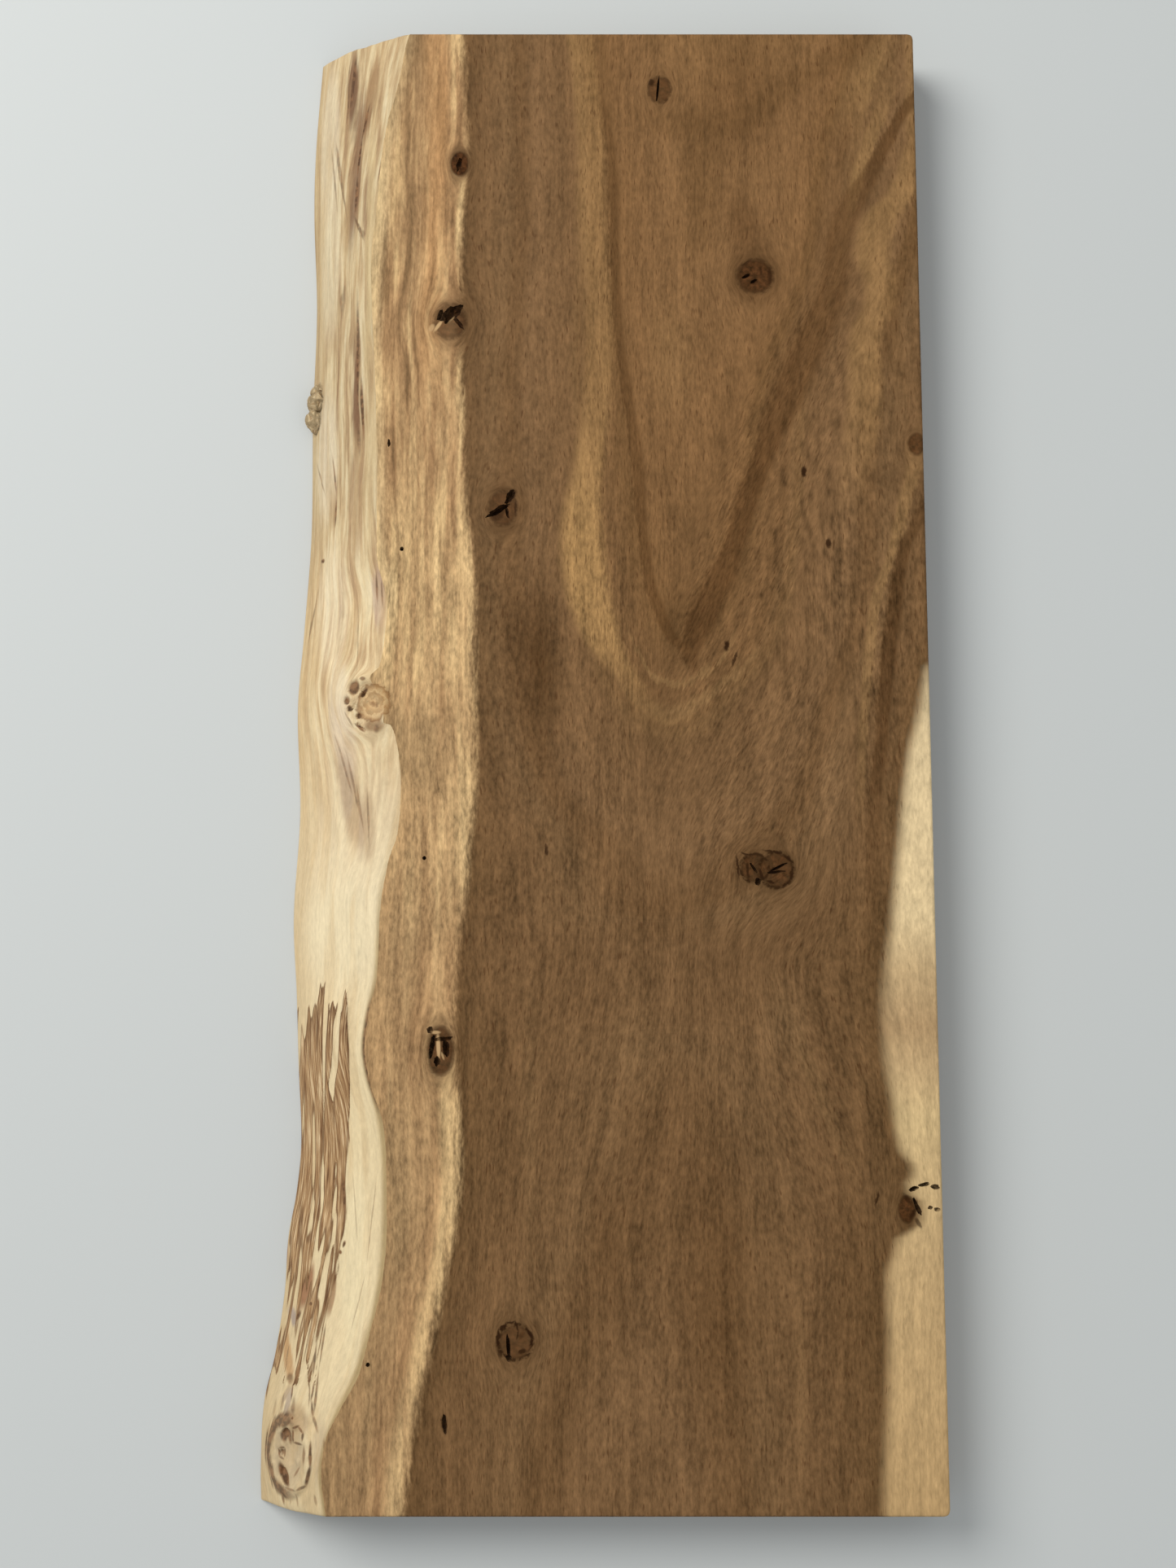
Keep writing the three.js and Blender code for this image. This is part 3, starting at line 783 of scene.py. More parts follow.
def mesh_object(name, bm, materials):
    mesh = bpy.data.meshes.new(name)
    bm.to_mesh(mesh)
    bm.free()
    made = new_object(name, mesh)
    for material in materials:
        mesh.materials.append(material)
    return made


def rough_ball(bm, fineness, swells, size, turn, place):
    """A ball with an uneven skin, drawn out, turned by degrees and set in its place."""
    verts = bmesh.ops.create_icosphere(bm, subdivisions=fineness, radius=1)["verts"]
    for vert in verts:
        swell = 1.0
        for height, pitch, shift in swells:
            swell += height * noise.noise(vert.co * pitch + Vector(shift))
        vert.co *= swell
    bmesh.ops.scale(bm, vec=Vector(size) * MM, verts=verts)
    turned = Euler((0, 0, math.radians(turn))).to_matrix()
    bmesh.ops.rotate(bm, matrix=turned, verts=verts)
    middle = to_model(*(np.array(p) for p in place))
    bmesh.ops.translate(bm, vec=middle, verts=verts)


def smooth_shapes(name, bm, material):
    made = mesh_object(name, bm, [material])
    for face in made.data.polygons:
        face.use_smooth = True
    return made


def hollow_tools(material):
    """The shapes that are taken out of the knots: uneven ellipsoids with torn walls."""
    bm = bmesh.new()
    for number, (at, over, half_length, half_width, depth, turn) in enumerate(HOLLOWS):
        fineness = 4 if half_length * half_width > 6 else 3
        swells = ((0.30, 1.7, (number, 0, 0)), (0.16, 5.3, (0, number, 0)))
        size = (half_width, half_length, depth)
        rough_ball(bm, fineness, swells, size, turn, (at, over, SLAB_THICKNESS))
    return smooth_shapes("hollow_tools", bm, material)


def burl_lumps(material):
    """Small lumps of burl at the foot of the natural side."""
    bm = bmesh.new()
    for number, (at, over, height, half_length, radius) in enumerate(BURL_LUMPS):
        swells = ((0.24, 1.6, (number, 3, 0)), (0.1, 4.4, (3, number, 0)))
        rough_ball(bm, 4, swells, (radius, half_length, radius), 0, (at, over, height))
    for vert in bm.verts:
        vert.co.x = max(vert.co.x, cad_low.x + BURL_INSIDE * MM)
        vert.co.z = max(vert.co.z, BURL_ABOVE * MM)
    return smooth_shapes("burl_lumps", bm, material)


def combine(slab, tools, operation):
    """Joins shapes to the slab or cuts them out of it, and keeps the edge between them crisp."""
    change = slab.modifiers.new("change", "BOOLEAN")
    change.operation = operation
    change.solver = "EXACT"
    change.use_self = True
    change.material_mode = "TRANSFER"
    change.object = tools
    graph = bpy.context.evaluated_depsgraph_get()
    mesh = bpy.data.meshes.new_from_object(slab.evaluated_get(graph))
    slab.modifiers.clear()
    slab.data = mesh
    bpy.data.objects.remove(tools)
    bm = bmesh.new()
    bm.from_mesh(mesh)
    for edge in bm.edges:
        if len({face.material_index for face in edge.link_faces}) > 1:
            edge.smooth = False
    bm.to_mesh(mesh)
    bm.free()


def reckoner(operation):
    """A way to reckon with two or more values, one after the other."""
    def reckon(wiring, *values):
        so_far = values[0]
        for value in values[1:]:
            so_far = wiring.math(operation, so_far, value)
        return so_far

    return reckon


class Wiring:
    """Adds nodes to one tree and wires each as it is added."""

    def __init__(self, tree):
        self.tree = tree

    def put(self, socket, value):
        if isinstance(value, bpy.types.NodeSocket):
            self.tree.links.new(value, socket)
        else:
            socket.default_value = value

    def node(self, kind, inputs=None, **settings):
        made = self.tree.nodes.new(kind)
        for name, value in settings.items():
            setattr(made, name, value)
        for key, value in (inputs or {}).items():
            self.put(made.inputs[key], value)
        return made

    def math(self, operation, *values, clamp=False):
        made = self.node("ShaderNodeMath", operation=operation, use_clamp=clamp)
        for socket, value in zip(made.inputs, values):
            self.put(socket, value)
        return made.outputs[0]

    plus = reckoner("ADD")
    minus = reckoner("SUBTRACT")
    times = reckoner("MULTIPLY")
    over = reckoner("DIVIDE")
    most = reckoner("MAXIMUM")

    def times_plus(self, first, second, third):
        return self.math("MULTIPLY_ADD", first, second, third)

    def apart(self, first, second):
        return self.math("ABSOLUTE", self.minus(first, second))

    def swayed(self, value, noise, amount):
        """A value that is moved up and down by noise, which lies round 0.5."""
        return self.times_plus(self.minus(noise, 0.5), amount, value)

    def vector(self, operation, *values, output=0):
        made = self.node("ShaderNodeVectorMath", operation=operation)
        for socket, value in zip(made.inputs, values):
            self.put(socket, value)
        return made.outputs[output]

    def moved(self, vector, way):
        return self.vector("ADD", vector, way)

    def stretched(self, vector, size):
        return self.vector("MULTIPLY", vector, size)

    def length(self, vector):
        return self.vector("LENGTH", vector, output="Value")

    def scaled(self, vector, factor):
        inputs = {0: vector, "Scale": factor}
        return self.node("ShaderNodeVectorMath", inputs, operation="SCALE").outputs[0]

    def parts(self, vector):
        return self.node("ShaderNodeSeparateXYZ", {0: vector}).outputs

    def along_way(self, vector, way):
        """How far a vector goes in a direction."""
        return self.vector("DOT_PRODUCT", vector, way, output="Value")

    def joined(self, x, y, z):
        return self.node("ShaderNodeCombineXYZ", {0: x, 1: y, 2: z}).outputs[0]

    def remap(self, value, low, high, to_low=0.0, to_high=1.0):
        inputs = {"Value": value, "From Min": low, "From Max": high}
        inputs |= {"To Min": to_low, "To Max": to_high}
        return self.node("ShaderNodeMapRange", inputs, interpolation_type="SMOOTHSTEP").outputs[0]

    def mix(self, share, *shades):
        """The first colour with a share of the second. Three numbers are a colour on a screen."""
        under, upper = (colour(*s) if isinstance(s, tuple) else s for s in shades)
        inputs = {0: share, 6: under, 7: upper}
        return self.node("ShaderNodeMix", inputs, data_type="RGBA").outputs[2]

    def noise(self, vector, scale=1.0, detail=1.0, roughness=0.5):
        inputs = {"Vector": vector, "Scale": scale, "Detail": detail, "Roughness": roughness}
        return self.node("ShaderNodeTexNoise", inputs).outputs["Fac"]

    def ramp(self, value, stops):
        """Colours by value, from pairs of a value and a colour on a screen."""
        low, high = stops[0][0], stops[-1][0]
        share = self.over(self.minus(value, low), high - low)
        made = self.node("ShaderNodeValToRGB", {"Fac": share})
        elements = made.color_ramp.elements
        while len(elements) < len(stops):
            elements.new(0.5)
        for element, (at, shade) in zip(elements, stops):
            element.position = (at - low) / (high - low)
            element.color = colour(*shade)
        return made.outputs[0]

    def line(self, along, points):
        """The value of a line, given by (place, value) points, at a place."""
        low = min(p[1] for p in points)
        high = max(p[1] for p in points)
        start, end = points[0][0], points[-1][0]
        share = self.math("DIVIDE", self.minus(along, start), end - start, clamp=True)
        made = self.node("ShaderNodeFloatCurve", {"Value": share})
        curve = made.mapping.curves[0]
        while len(curve.points) < len(points):
            curve.points.new(0.5, 0.5)
        for point, (at, value) in zip(curve.points, points):
            point.location = ((at - start) / (end - start), (value - low) / (high - low or 1.0))
        made.mapping.update()
        return self.times_plus(made.outputs[0], high - low, low)

    def group(self, name, inputs=None):
        made = self.node("ShaderNodeGroup", node_tree=bpy.data.node_groups[name])
        for key, value in (inputs or {}).items():
            self.put(made.inputs[key], value)
        return made.outputs


def new_group(name, inputs, outputs):
    """A node group with named sockets: its wiring, what it is given and what it gives."""
    tree = bpy.data.node_groups.new(name, "ShaderNodeTree")
    kinds = {"vector": "NodeSocketVector", "value": "NodeSocketFloat", "colour": "NodeSocketColor"}
    for side, sockets in (("INPUT", inputs), ("OUTPUT", outputs)):
        for socket, kind in sockets:
            tree.interface.new_socket(socket, in_out=side, socket_type=kinds[kind])
    wiring = Wiring(tree)
    given = wiring.node("NodeGroupInput").outputs
    result = wiring.node("NodeGroupOutput").inputs
    return wiring, given, result


def place_group():
    """Across, along and depth on the slab, in millimetres."""
    w, _, result = new_group("slab place", [], [("Place", "vector")])
    model = w.node("ShaderNodeTexCoord").outputs["Object"]
    scaled = w.stretched(model, (-1 / MM, 1 / MM, -1 / MM))
    origin = (SAWN_EDGE_X, -BOTTOM_END_Y, FRONT_Z)
    w.put(result["Place"], w.moved(scaled, origin))


def knot_group():
    """Adds one knot to those before it: local coordinates, core, outline, halo and grain bend."""
    values = [(name, "value") for name in ("Core", "Outline", "Halo", "Bend")]
    w, given, result = new_group(
        "knot",
        [
            ("Place", "vector"), ("Centre", "vector"), ("Size", "vector"), ("Darkness", "vector"),
            ("Local", "vector"), *values,
        ],
        [("Local", "vector"), *values],
    )
    away = w.vector("SUBTRACT", given["Place"], given["Centre"])
    local = w.stretched(w.vector("DIVIDE", away, given["Size"]), (1.0, 1.0, 0.0))
    radius = w.length(local)
    dark = w.parts(given["Darkness"])
    core = w.times(w.remap(radius, 1.1, 0.8), dark[0])
    line = w.times(w.remap(radius, 0.74, 0.94), w.remap(radius, 1.14, 0.98), dark[1])
    halo = w.times(w.remap(radius, 2.1, 0.8), dark[2])
    round_it = w.most(w.times(radius, radius), 1.0)
    bend = w.over(w.along_way(away, (1, 0, 0)), round_it)
    near = w.remap(radius, 1.35, 1.25)
    w.put(result["Local"], w.moved(given["Local"], w.scaled(local, near)))
    for name, value in (("Core", core), ("Outline", line), ("Halo", halo)):
        w.put(result[name], w.most(given[name], value))
    w.put(result["Bend"], w.plus(given["Bend"], bend))


def oval_group():
    """How far out a place lies from the middle of an oval, which is 1 on the oval's rim."""
    w, given, result = new_group(
        "oval",
        [("Place", "vector"), ("Centre", "vector"), ("Lengthways", "vector"), ("Crossways", "vector")],
        [("Out", "value")],
    )
    away = w.vector("SUBTRACT", given["Place"], given["Centre"])
    length = w.along_way(away, given["Lengthways"])
    width = w.along_way(away, given["Crossways"])
    w.put(result["Out"], w.length(w.joined(length, width, 0.0)))


def fibre_group():
    """Fine figure of the wood, drawn out with the grain: tone, streaks, grain and open pores."""
    w, given, result = new_group(
        "fibre",
        [("Grain", "vector")],
        [("Tone", "value"), ("Streaks", "value"), ("Fine", "value"), ("Pores", "value")],
    )
    grain = given["Grain"]
    w.put(result["Tone"], w.noise(w.stretched(grain, (1 / 9, 1 / 70, 1 / 9)), detail=2.0))
    streaks = w.stretched(grain, (1 / 3.0, 1 / 34, 1 / 3.0))
    w.put(result["Streaks"], w.noise(streaks, detail=2.0))
    fine = w.stretched(grain, (1 / 1.3, 1 / 4.6, 1 / 1.3))
    w.put(result["Fine"], w.noise(fine, detail=2.0, roughness=0.6))
    pores = w.noise(w.stretched(grain, (1 / 1.1, 1 / 7.0, 1 / 1.1)), detail=1.0, roughness=0.6)
    w.put(result["Pores"], w.remap(pores, 0.58, 0.72))


def oval(w, place, along, across, half_length, half_width, turn):
    """How far out from an oval's middle a place lies. The oval is turned by degrees."""
    sine, cosine = math.sin(math.radians(turn)), math.cos(math.radians(turn))
    return w.group("oval", {
        "Place": place,
        "Centre": (across, along, 0),
        "Lengthways": (sine / half_length, cosine / half_length, 0),
        "Crossways": (cosine / half_width, -sine / half_width, 0),
    })["Out"]


def soft_patch(w, place, along, across, half_length, half_width, lean=0.0, full=0.0):
    """1 in an oval patch out to its full part, falling softly to 0. It may lean with the grain."""
    out = w.group("oval", {
        "Place": place,
        "Centre": (across, along, 0),
        "Lengthways": (0, 1 / half_length, 0),
        "Crossways": (1 / half_width, -lean / half_width, 0),
    })["Out"]
    return w.remap(out, 1.0, full)


def marked(w, place, marks):
    """All of a list's marks together, from 0 to their darkness."""
    so_far = 0.0
    for *shape, dark in marks:
        so_far = w.most(so_far, w.remap(oval(w, place, *shape), 1.15, 0.45, 0.0, dark))
    return so_far


def knotted(w, place, knots):
    """The knots of a list together: local coordinates, core, outline, halo and grain bend."""
    so_far = {"Local": (0, 0, 0), "Core": 0.0, "Outline": 0.0, "Halo": 0.0, "Bend": 0.0}
    for along, across, half_length, half_width, *darkness in knots:
        inputs = {"Place": place, "Centre": (across, along, 0), "Darkness": darkness}
        inputs["Size"] = (half_width, half_length, 1)
        made = w.group("knot", inputs | so_far)
        so_far = {name: made[name] for name in so_far}
    return so_far


def stained(w, place, colour_so_far, stains, fade=1.0, full=0.0):
    """Lays each soft stain of a list over the colour so far."""
    for *shape, share, shade in stains:
        patch = soft_patch(w, place, *shape, full)
        strength = w.times(patch, share, fade)
        colour_so_far = w.mix(strength, colour_so_far, shade)
    return colour_so_far


def banded(w, aside, ahead, colour_so_far, bands, fade):
    """Lays long bands over the colour so far, each along its own winding line."""
    for shade, points in bands:
        middle, half_width, share = (w.line(ahead, [(p[0], p[i]) for p in points]) for i in (1, 2, 3))
        out = w.over(w.apart(aside, middle), half_width)
        strength = w.times(w.remap(out, 1.0, 0.4), share, fade)
        colour_so_far = w.mix(strength, colour_so_far, shade)
    return colour_so_far


def toned(w, shade, *parts):
    """Brightens and darkens a colour by (value, strength) pairs, each value lying round 0.5."""
    factor = 1.0
    for value, strength in parts:
        factor = w.swayed(factor, value, strength)
    return w.scaled(shade, factor)


# What the sheen of the surface adds to a colour, which the colours given here already show
SHEEN_SHARE = (0.006, 0.006, 0.007)

# Colours of the sawn wood
HEART_EDGE = (92, 68, 42)
ORANGE_SAPWOOD = (188, 142, 94)
GREY_SAPWOOD = (150, 122, 86)
# Pale sapwood and a painted highlight along the wane edge
PALE_SAPWOOD_AND_HIGHLIGHT = (222, 197, 148)
OPEN_PORE = (70, 42, 23)
KNOT_HALO = (76, 52, 30)
KNOT_OUTLINE = (48, 30, 17)
CRACK = (48, 29, 17)
SPLINTER = (200, 164, 118)
# Painted shade inside the hollows of the knots
HOLLOW_PAINTED_SHADE = (44, 27, 15)
KNOT_CORE = [
    (0.0, (48, 27, 15)), (0.3, (80, 48, 26)), (0.7, (72, 43, 23)), (1.1, (52, 31, 17)),
]
WHORL_RINGS = [
    (0.0, (128, 90, 54)), (0.14, (148, 108, 68)), (0.3, (196, 160, 112)),
    (0.55, (176, 136, 90)), (0.7, (204, 170, 122)), (0.9, (158, 118, 76)),
    (1.0, (132, 94, 58)), (1.15, (190, 154, 108)),
]

# Colours of the natural side
SMOOTH_WOOD = [
    (0, (220, 197, 154)), (60, (231, 209, 166)), (180, (232, 210, 166)),
    (300, (231, 212, 174)), (430, (222, 199, 159)), (762, (214, 189, 147)),
]
STRIPED_WOOD = [
    (0.32, (150, 113, 78)), (0.42, (184, 150, 108)), (0.5, (210, 182, 138)),
    (0.58, (228, 206, 162)), (0.7, (238, 219, 180)),
]
TAN_FOOT = (200, 172, 128)
WARM_WOOD = (204, 172, 124)
BARK_STRANDS = [
    (0.30, (92, 62, 38)), (0.39, (136, 100, 66)), (0.48, (164, 128, 88)),
    (0.57, (190, 156, 114)), (0.67, (228, 202, 160)),
]
BARK_TIP = (92, 62, 40)
BARK_EDGE = (94, 64, 40)
OLIVE_RIM = (160, 134, 88)
# Colours of the dark marks and cracks of the natural side, and of the painted shade in its pits
PIT_DARK = (84, 56, 36)
PIT_LIGHT = (134, 96, 64)

# Heartwood by distance out from the apex ring, and sapwood from its dark streaks to its light
HEART_RINGS = [
    (-50, (112, 84, 54)), (-40, (118, 88, 56)), (-30, (110, 81, 51)), (-22, (120, 89, 56)),
    (-14, (126, 94, 60)), (-6, (126, 93, 60)), (-2.2, (124, 91, 58)), (-1.0, (112, 82, 51)),
    (0.8, (118, 87, 56)), (3.0, (118, 87, 56)), (3.7, (124, 93, 61)), (4.3, (117, 87, 56)),
    (5.2, (122, 92, 60)), (6.0, (118, 88, 58)), (11, (120, 90, 60)),
    (15.1, (121, 91, 61)), (17.0, (113, 84, 55)), (19.0, (112, 83, 54)), (22, (119, 90, 60)),
    (30, (114, 85, 56)), (42, (110, 82, 53)), (60, (110, 82, 53)), (110, (106, 78, 49)),
]
SAPWOOD_STREAKS = [
    (0.15, (134, 102, 69)), (0.3, (156, 120, 83)), (0.42, (172, 136, 95)),
    (0.54, (185, 150, 106)), (0.66, (200, 166, 118)), (0.85, (212, 179, 129)),
]

# Sapwood of the natural side: its tone by distance from the heartwood and along the slab, then
# how strong its streaks, pale rim, grey, orange and yellow are along the slab. The pale rim is
# pale sapwood with a painted highlight along the wane edge.
OUTER_SAPWOOD = [(0, 0.48), (4.5, 0.53), (10, 0.46), (17, 0.405), (30, 0.425), (50, 0.46)]
OUTER_SAPWOOD_ALONG = [
    (0, -0.08), (100, -0.06), (180, 0.02), (258, -0.01), (300, 0.09), (340, 0.09),
    (380, 0.06), (425, 0.17), (450, 0.17), (520, 0.04), (600, -0.02), (700, -0.12), (762, -0.14),
]
OUTER_SAPWOOD_CONTRAST = [
    (0, 0.5), (170, 0.5), (300, 0.6), (450, 0.85), (530, 1.3), (640, 1.6), (762, 1.2),
]
PALE_RIM_AND_HIGHLIGHT = [(0, 0.0), (380, 0.0), (440, 0.3), (520, 0.45), (640, 0.5), (700, 0.35), (762, 0.2)]
GREY_SHARE = [
    (0, 0.55), (170, 0.5), (205, 0.2), (228, 0.2), (262, 0.5), (290, 0.25), (320, 0.05), (350, 0.2),
    (376, 0.6), (405, 0.05), (480, 0.08), (640, 0.25), (762, 0.45),
]
ORANGE_SHARE = [(0, 0.0), (520, 0.0), (580, 0.3), (640, 0.45), (762, 0.45)]
YELLOW_SHARE = [
    (0, 0.17), (170, 0.18), (205, -0.02), (240, -0.1), (290, -0.06), (330, 0.04), (370, 0.06),
    (410, 0.0), (490, -0.06), (520, -0.02), (620, 0.05), (700, 0.08), (762, 0.1),
]

# Sapwood of the sawn side, along the slab
INNER_SAPWOOD = [
    (0, (186, 153, 107)), (120, (196, 165, 119)), (190, (206, 178, 130)), (212, (196, 166, 122)),
    (234, (178, 147, 107)), (262, (196, 167, 124)), (290, (224, 198, 152)),
    (420, (228, 203, 158)),
]

# Dark line along the edge of the front, over one stretch
DARK_RIM = [(0, 0.0), (180, 0.0), (196, 0.6), (210, 0.85), (236, 0.85), (248, 0.3), (262, 0.0)]

# Brightness of the natural side, then contrast and brightness of the sawn wood, along the slab
SIDE_BRIGHTNESS = [
    (0, 0.94), (180, 0.96), (290, 1.0), (430, 1.0), (480, 0.9), (560, 0.8), (700, 0.82), (762, 0.86),
]
GRAIN_CONTRAST = [(0, 1.2), (150, 1.35), (430, 1.4), (520, 1.1), (762, 0.95)]
BRIGHTNESS = [(0, 1.08), (200, 1.06), (400, 1.05), (600, 1.1), (762, 1.1)]


def from_pith(w, across, along):
    """Where the pith lies across and how deep, and how far aside from it a place is."""
    pith = w.line(along, PITH_ACROSS)
    return pith, w.line(along, PITH_DEPTH), w.minus(across, pith)


def rings_figure(w, across, along, depth):
    """Distance out from the apex ring, the ring's place on the front face, and the side."""
    pith, pith_depth, aside = from_pith(w, across, along)
    near_pith = w.remap(w.math("ABSOLUTE", aside), 95.0, 20.0)
    bulge = w.times(w.line(along, RING_BULGE), near_pith)
    aside_squared = w.times(aside, aside)
    below = w.minus(w.plus(pith_depth, bulge), depth)
    squares = w.times_plus(below, below, aside_squared)
    ring = w.minus(w.math("SQRT", squares), APEX_RADIUS)
    shallow = w.minus(pith_depth, depth)
    front = w.times_plus(shallow, shallow, aside_squared)
    front = w.minus(front, w.times(pith_depth, pith_depth))
    front = w.math("SQRT", w.most(front, 0.0))
    side = w.math("SIGN", aside)
    return ring, w.times_plus(front, side, pith), side


def radial_place(w, across, along, depth):
    """Where a branch that grew out from the pith through this place meets the front face."""
    pith, pith_depth, aside = from_pith(w, across, along)
    spread = w.over(pith_depth, w.minus(pith_depth, depth))
    return w.joined(w.times_plus(aside, spread, pith), along, 0.0)


def whorl_figure(w, flat):
    """Growth rings of the branch stub at the natural edge: where it shows, and its colour."""
    out = oval(w, flat, *WHORL, 0)
    rough = w.noise(w.scaled(flat, 0.35), detail=2.0)
    uneven = w.swayed(out, rough, 0.7)
    shade = toned(w, w.ramp(uneven, WHORL_RINGS), (rough, 0.8))
    return w.remap(uneven, 1.2, 0.9, 0.0, 0.85), shade


def figure_group():
    """The sawn wood, wherever the slab is cut: its colour and the height of its grain."""
    outputs = [("Colour", "colour"), ("Height", "value"), ("Splinters", "value")]
    w, _, result = new_group("sawn figure", [], outputs)
    place = w.group("slab place")["Place"]
    across, along, depth = w.parts(place)

    # Grain bends round the knots, leans and wanders
    radial = radial_place(w, across, along, depth)
    shake = w.noise(place, scale=0.5, detail=1.0)
    knots = knotted(w, radial, KNOTS)
    bent = w.minus(across, knots["Bend"])
    slow = w.noise(w.stretched(place, (1 / 60, 1 / 170, 1 / 60)), detail=1.0)
    bent = w.swayed(bent, slow, 9.0)
    leaning = bent
    for at, over, half_length, half_width, slope in LEANS:
        drift = DRIFT_SHARE * half_length * slope
        shift = w.remap(along, at - half_length, at + half_length, -drift, drift)
        from_middle = w.apart(across, over)
        leaning = w.times_plus(shift, w.remap(from_middle, half_width, 0.0), leaning)
    grain = w.joined(leaning, along, depth)
    upright = w.group("fibre", {"Grain": grain})
    sine, cosine = math.sin(math.radians(LEANING_TURN)), math.cos(math.radians(LEANING_TURN))
    turned_across = w.along_way(grain, (cosine, sine, 0))
    turned_along = w.along_way(grain, (-sine, cosine, 0))
    turned = w.group("fibre", {"Grain": w.joined(turned_across, turned_along, depth)})
    first, second = (soft_patch(w, radial, *p, full=0.5) for p in LEANING_PATCHES)
    leaned = w.most(first, second)
    fibre = {"Tone": upright["Tone"]}
    for name in ("Streaks", "Fine", "Pores"):
        difference = w.minus(turned[name], upright[name])
        fibre[name] = w.times_plus(difference, leaned, upright[name])

    # Rings, with the dark heartwood and the light sapwood outside it
    frayed = w.swayed(bent, fibre["Streaks"], 3.5)
    frayed = w.swayed(frayed, fibre["Fine"], 3.0)
    ring, front_across, side = rings_figure(w, frayed, along, depth)
    heart = w.ramp(ring, HEART_RINGS)
    front_place = w.joined(front_across, along, 0.0)
    near_front = w.remap(depth, 22.0, 8.0)
    heart = stained(w, front_place, heart, STAINS, near_front)
    wandering = w.swayed(along, fibre["Streaks"], 16.0)
    heart = banded(w, wandering, front_across, heart, CROSS_BANDS, near_front)
    heart = banded(w, front_across, along, heart, BANDS, near_front)
    unbent = w.times_plus(knots["Bend"], 0.85, front_across)
    past_outer = w.minus(unbent, w.line(along, HEART_OUTER))
    past_inner = w.minus(w.line(along, HEART_INNER), unbent)
    nearest = w.most(past_outer, w.times(past_inner, 0.75))
    heart = w.mix(w.remap(nearest, -14.0, 0.0, 0.0, 0.35), heart, HEART_EDGE)
    long_streaks = w.noise(w.stretched(grain, (0.17, 0.011, 0.17)))
    streak = w.plus(w.line(past_outer, OUTER_SAPWOOD), w.line(along, OUTER_SAPWOOD_ALONG))
    yellow = w.times(w.remap(past_outer, 12.0, 5.0), w.line(along, YELLOW_SHARE))
    streak = w.plus(streak, yellow)
    contrast = w.line(along, OUTER_SAPWOOD_CONTRAST)
    streaks = w.times(w.minus(fibre["Streaks"], 0.5), 0.55)
    streaks = w.swayed(streaks, long_streaks, 0.8)
    streak = w.times_plus(streaks, contrast, streak)
    outer = w.ramp(streak, SAPWOOD_STREAKS)
    orange = w.remap(w.apart(past_outer, 14.0), 10.0, 2.0)
    orange = w.times(orange, w.line(along, ORANGE_SHARE))
    outer = w.mix(orange, outer, ORANGE_SAPWOOD)
    grey = w.times(w.remap(past_outer, 9.0, 26.0), w.line(along, GREY_SHARE))
    outer = w.mix(grey, outer, GREY_SAPWOOD)
    inner = w.ramp(along, INNER_SAPWOOD)
    sapwood = w.mix(w.math("GREATER_THAN", side, 0.0), inner, outer)
    from_wane = w.minus(w.line(along, WANE_LINE), unbent)
    # Pale sapwood and a painted highlight along the wane edge, where the front meets the natural side
    pale_rim_and_highlight = w.times(w.remap(from_wane, 8.0, 0.0), w.line(along, PALE_RIM_AND_HIGHLIGHT))
    sapwood = w.mix(pale_rim_and_highlight, sapwood, PALE_SAPWOOD_AND_HIGHLIGHT)
    in_sapwood = w.remap(nearest, -3.4, 3.2)
    shade = w.mix(in_sapwood, heart, sapwood)

    # Fibres, growth lines, mottle and pores
    lines = w.noise(w.joined(w.over(ring, 0.8), w.over(along, 300.0), 0.0))
    mottle = w.noise(w.stretched(grain, (0.2, 0.1, 0.2)), detail=1.0)
    shade = w.scaled(shade, w.line(along, BRIGHTNESS))
    figured = soft_patch(w, radial, *FIGURED_WOOD)
    calm = w.remap(past_inner, -3.0, 3.0, 1.0, 0.5)
    contrast = w.times(w.line(along, GRAIN_CONTRAST), calm)
    shade = toned(
        w, shade, (fibre["Tone"], w.times(contrast, 0.65)),
        (fibre["Streaks"], w.times(contrast, 0.6)), (fibre["Fine"], contrast),
        (lines, 0.3), (mottle, w.times_plus(figured, 0.9, 0.4)),
    )
    crowded = w.remap(mottle, 0.35, 0.62, 0.35, 1.0)
    pores = w.times(fibre["Pores"], w.remap(in_sapwood, 0.0, 1.0, 0.55, 0.16), crowded)
    shade = w.mix(pores, shade, OPEN_PORE)

    # Whorl at the edge of the front
    whorl, whorl_shade = whorl_figure(w, w.joined(across, along, 0.0))
    shade = w.mix(w.times(whorl, near_front), shade, whorl_shade)

    # Knots: a darker halo, a dark and uneven core, and a broken outline
    shade = w.mix(w.times(knots["Halo"], 0.6), shade, KNOT_HALO)
    out = w.length(knots["Local"])
    direction = w.scaled(w.vector("NORMALIZE", knots["Local"]), 1.6)
    spokes = w.noise(w.moved(direction, w.scaled(place, 0.03)), scale=1.5, detail=2.0)
    curls = w.noise(place, scale=0.42, detail=2.0)
    worn = w.swayed(out, shake, 0.5)
    core_shade = toned(w, w.ramp(worn, KNOT_CORE), (spokes, 1.8), (curls, 3.0))
    shade = w.mix(w.times(knots["Core"], 0.97), shade, core_shade)
    broken = w.times(knots["Outline"], w.remap(curls, 0.4, 0.56))
    shade = w.mix(w.times(broken, 0.85), shade, KNOT_OUTLINE)

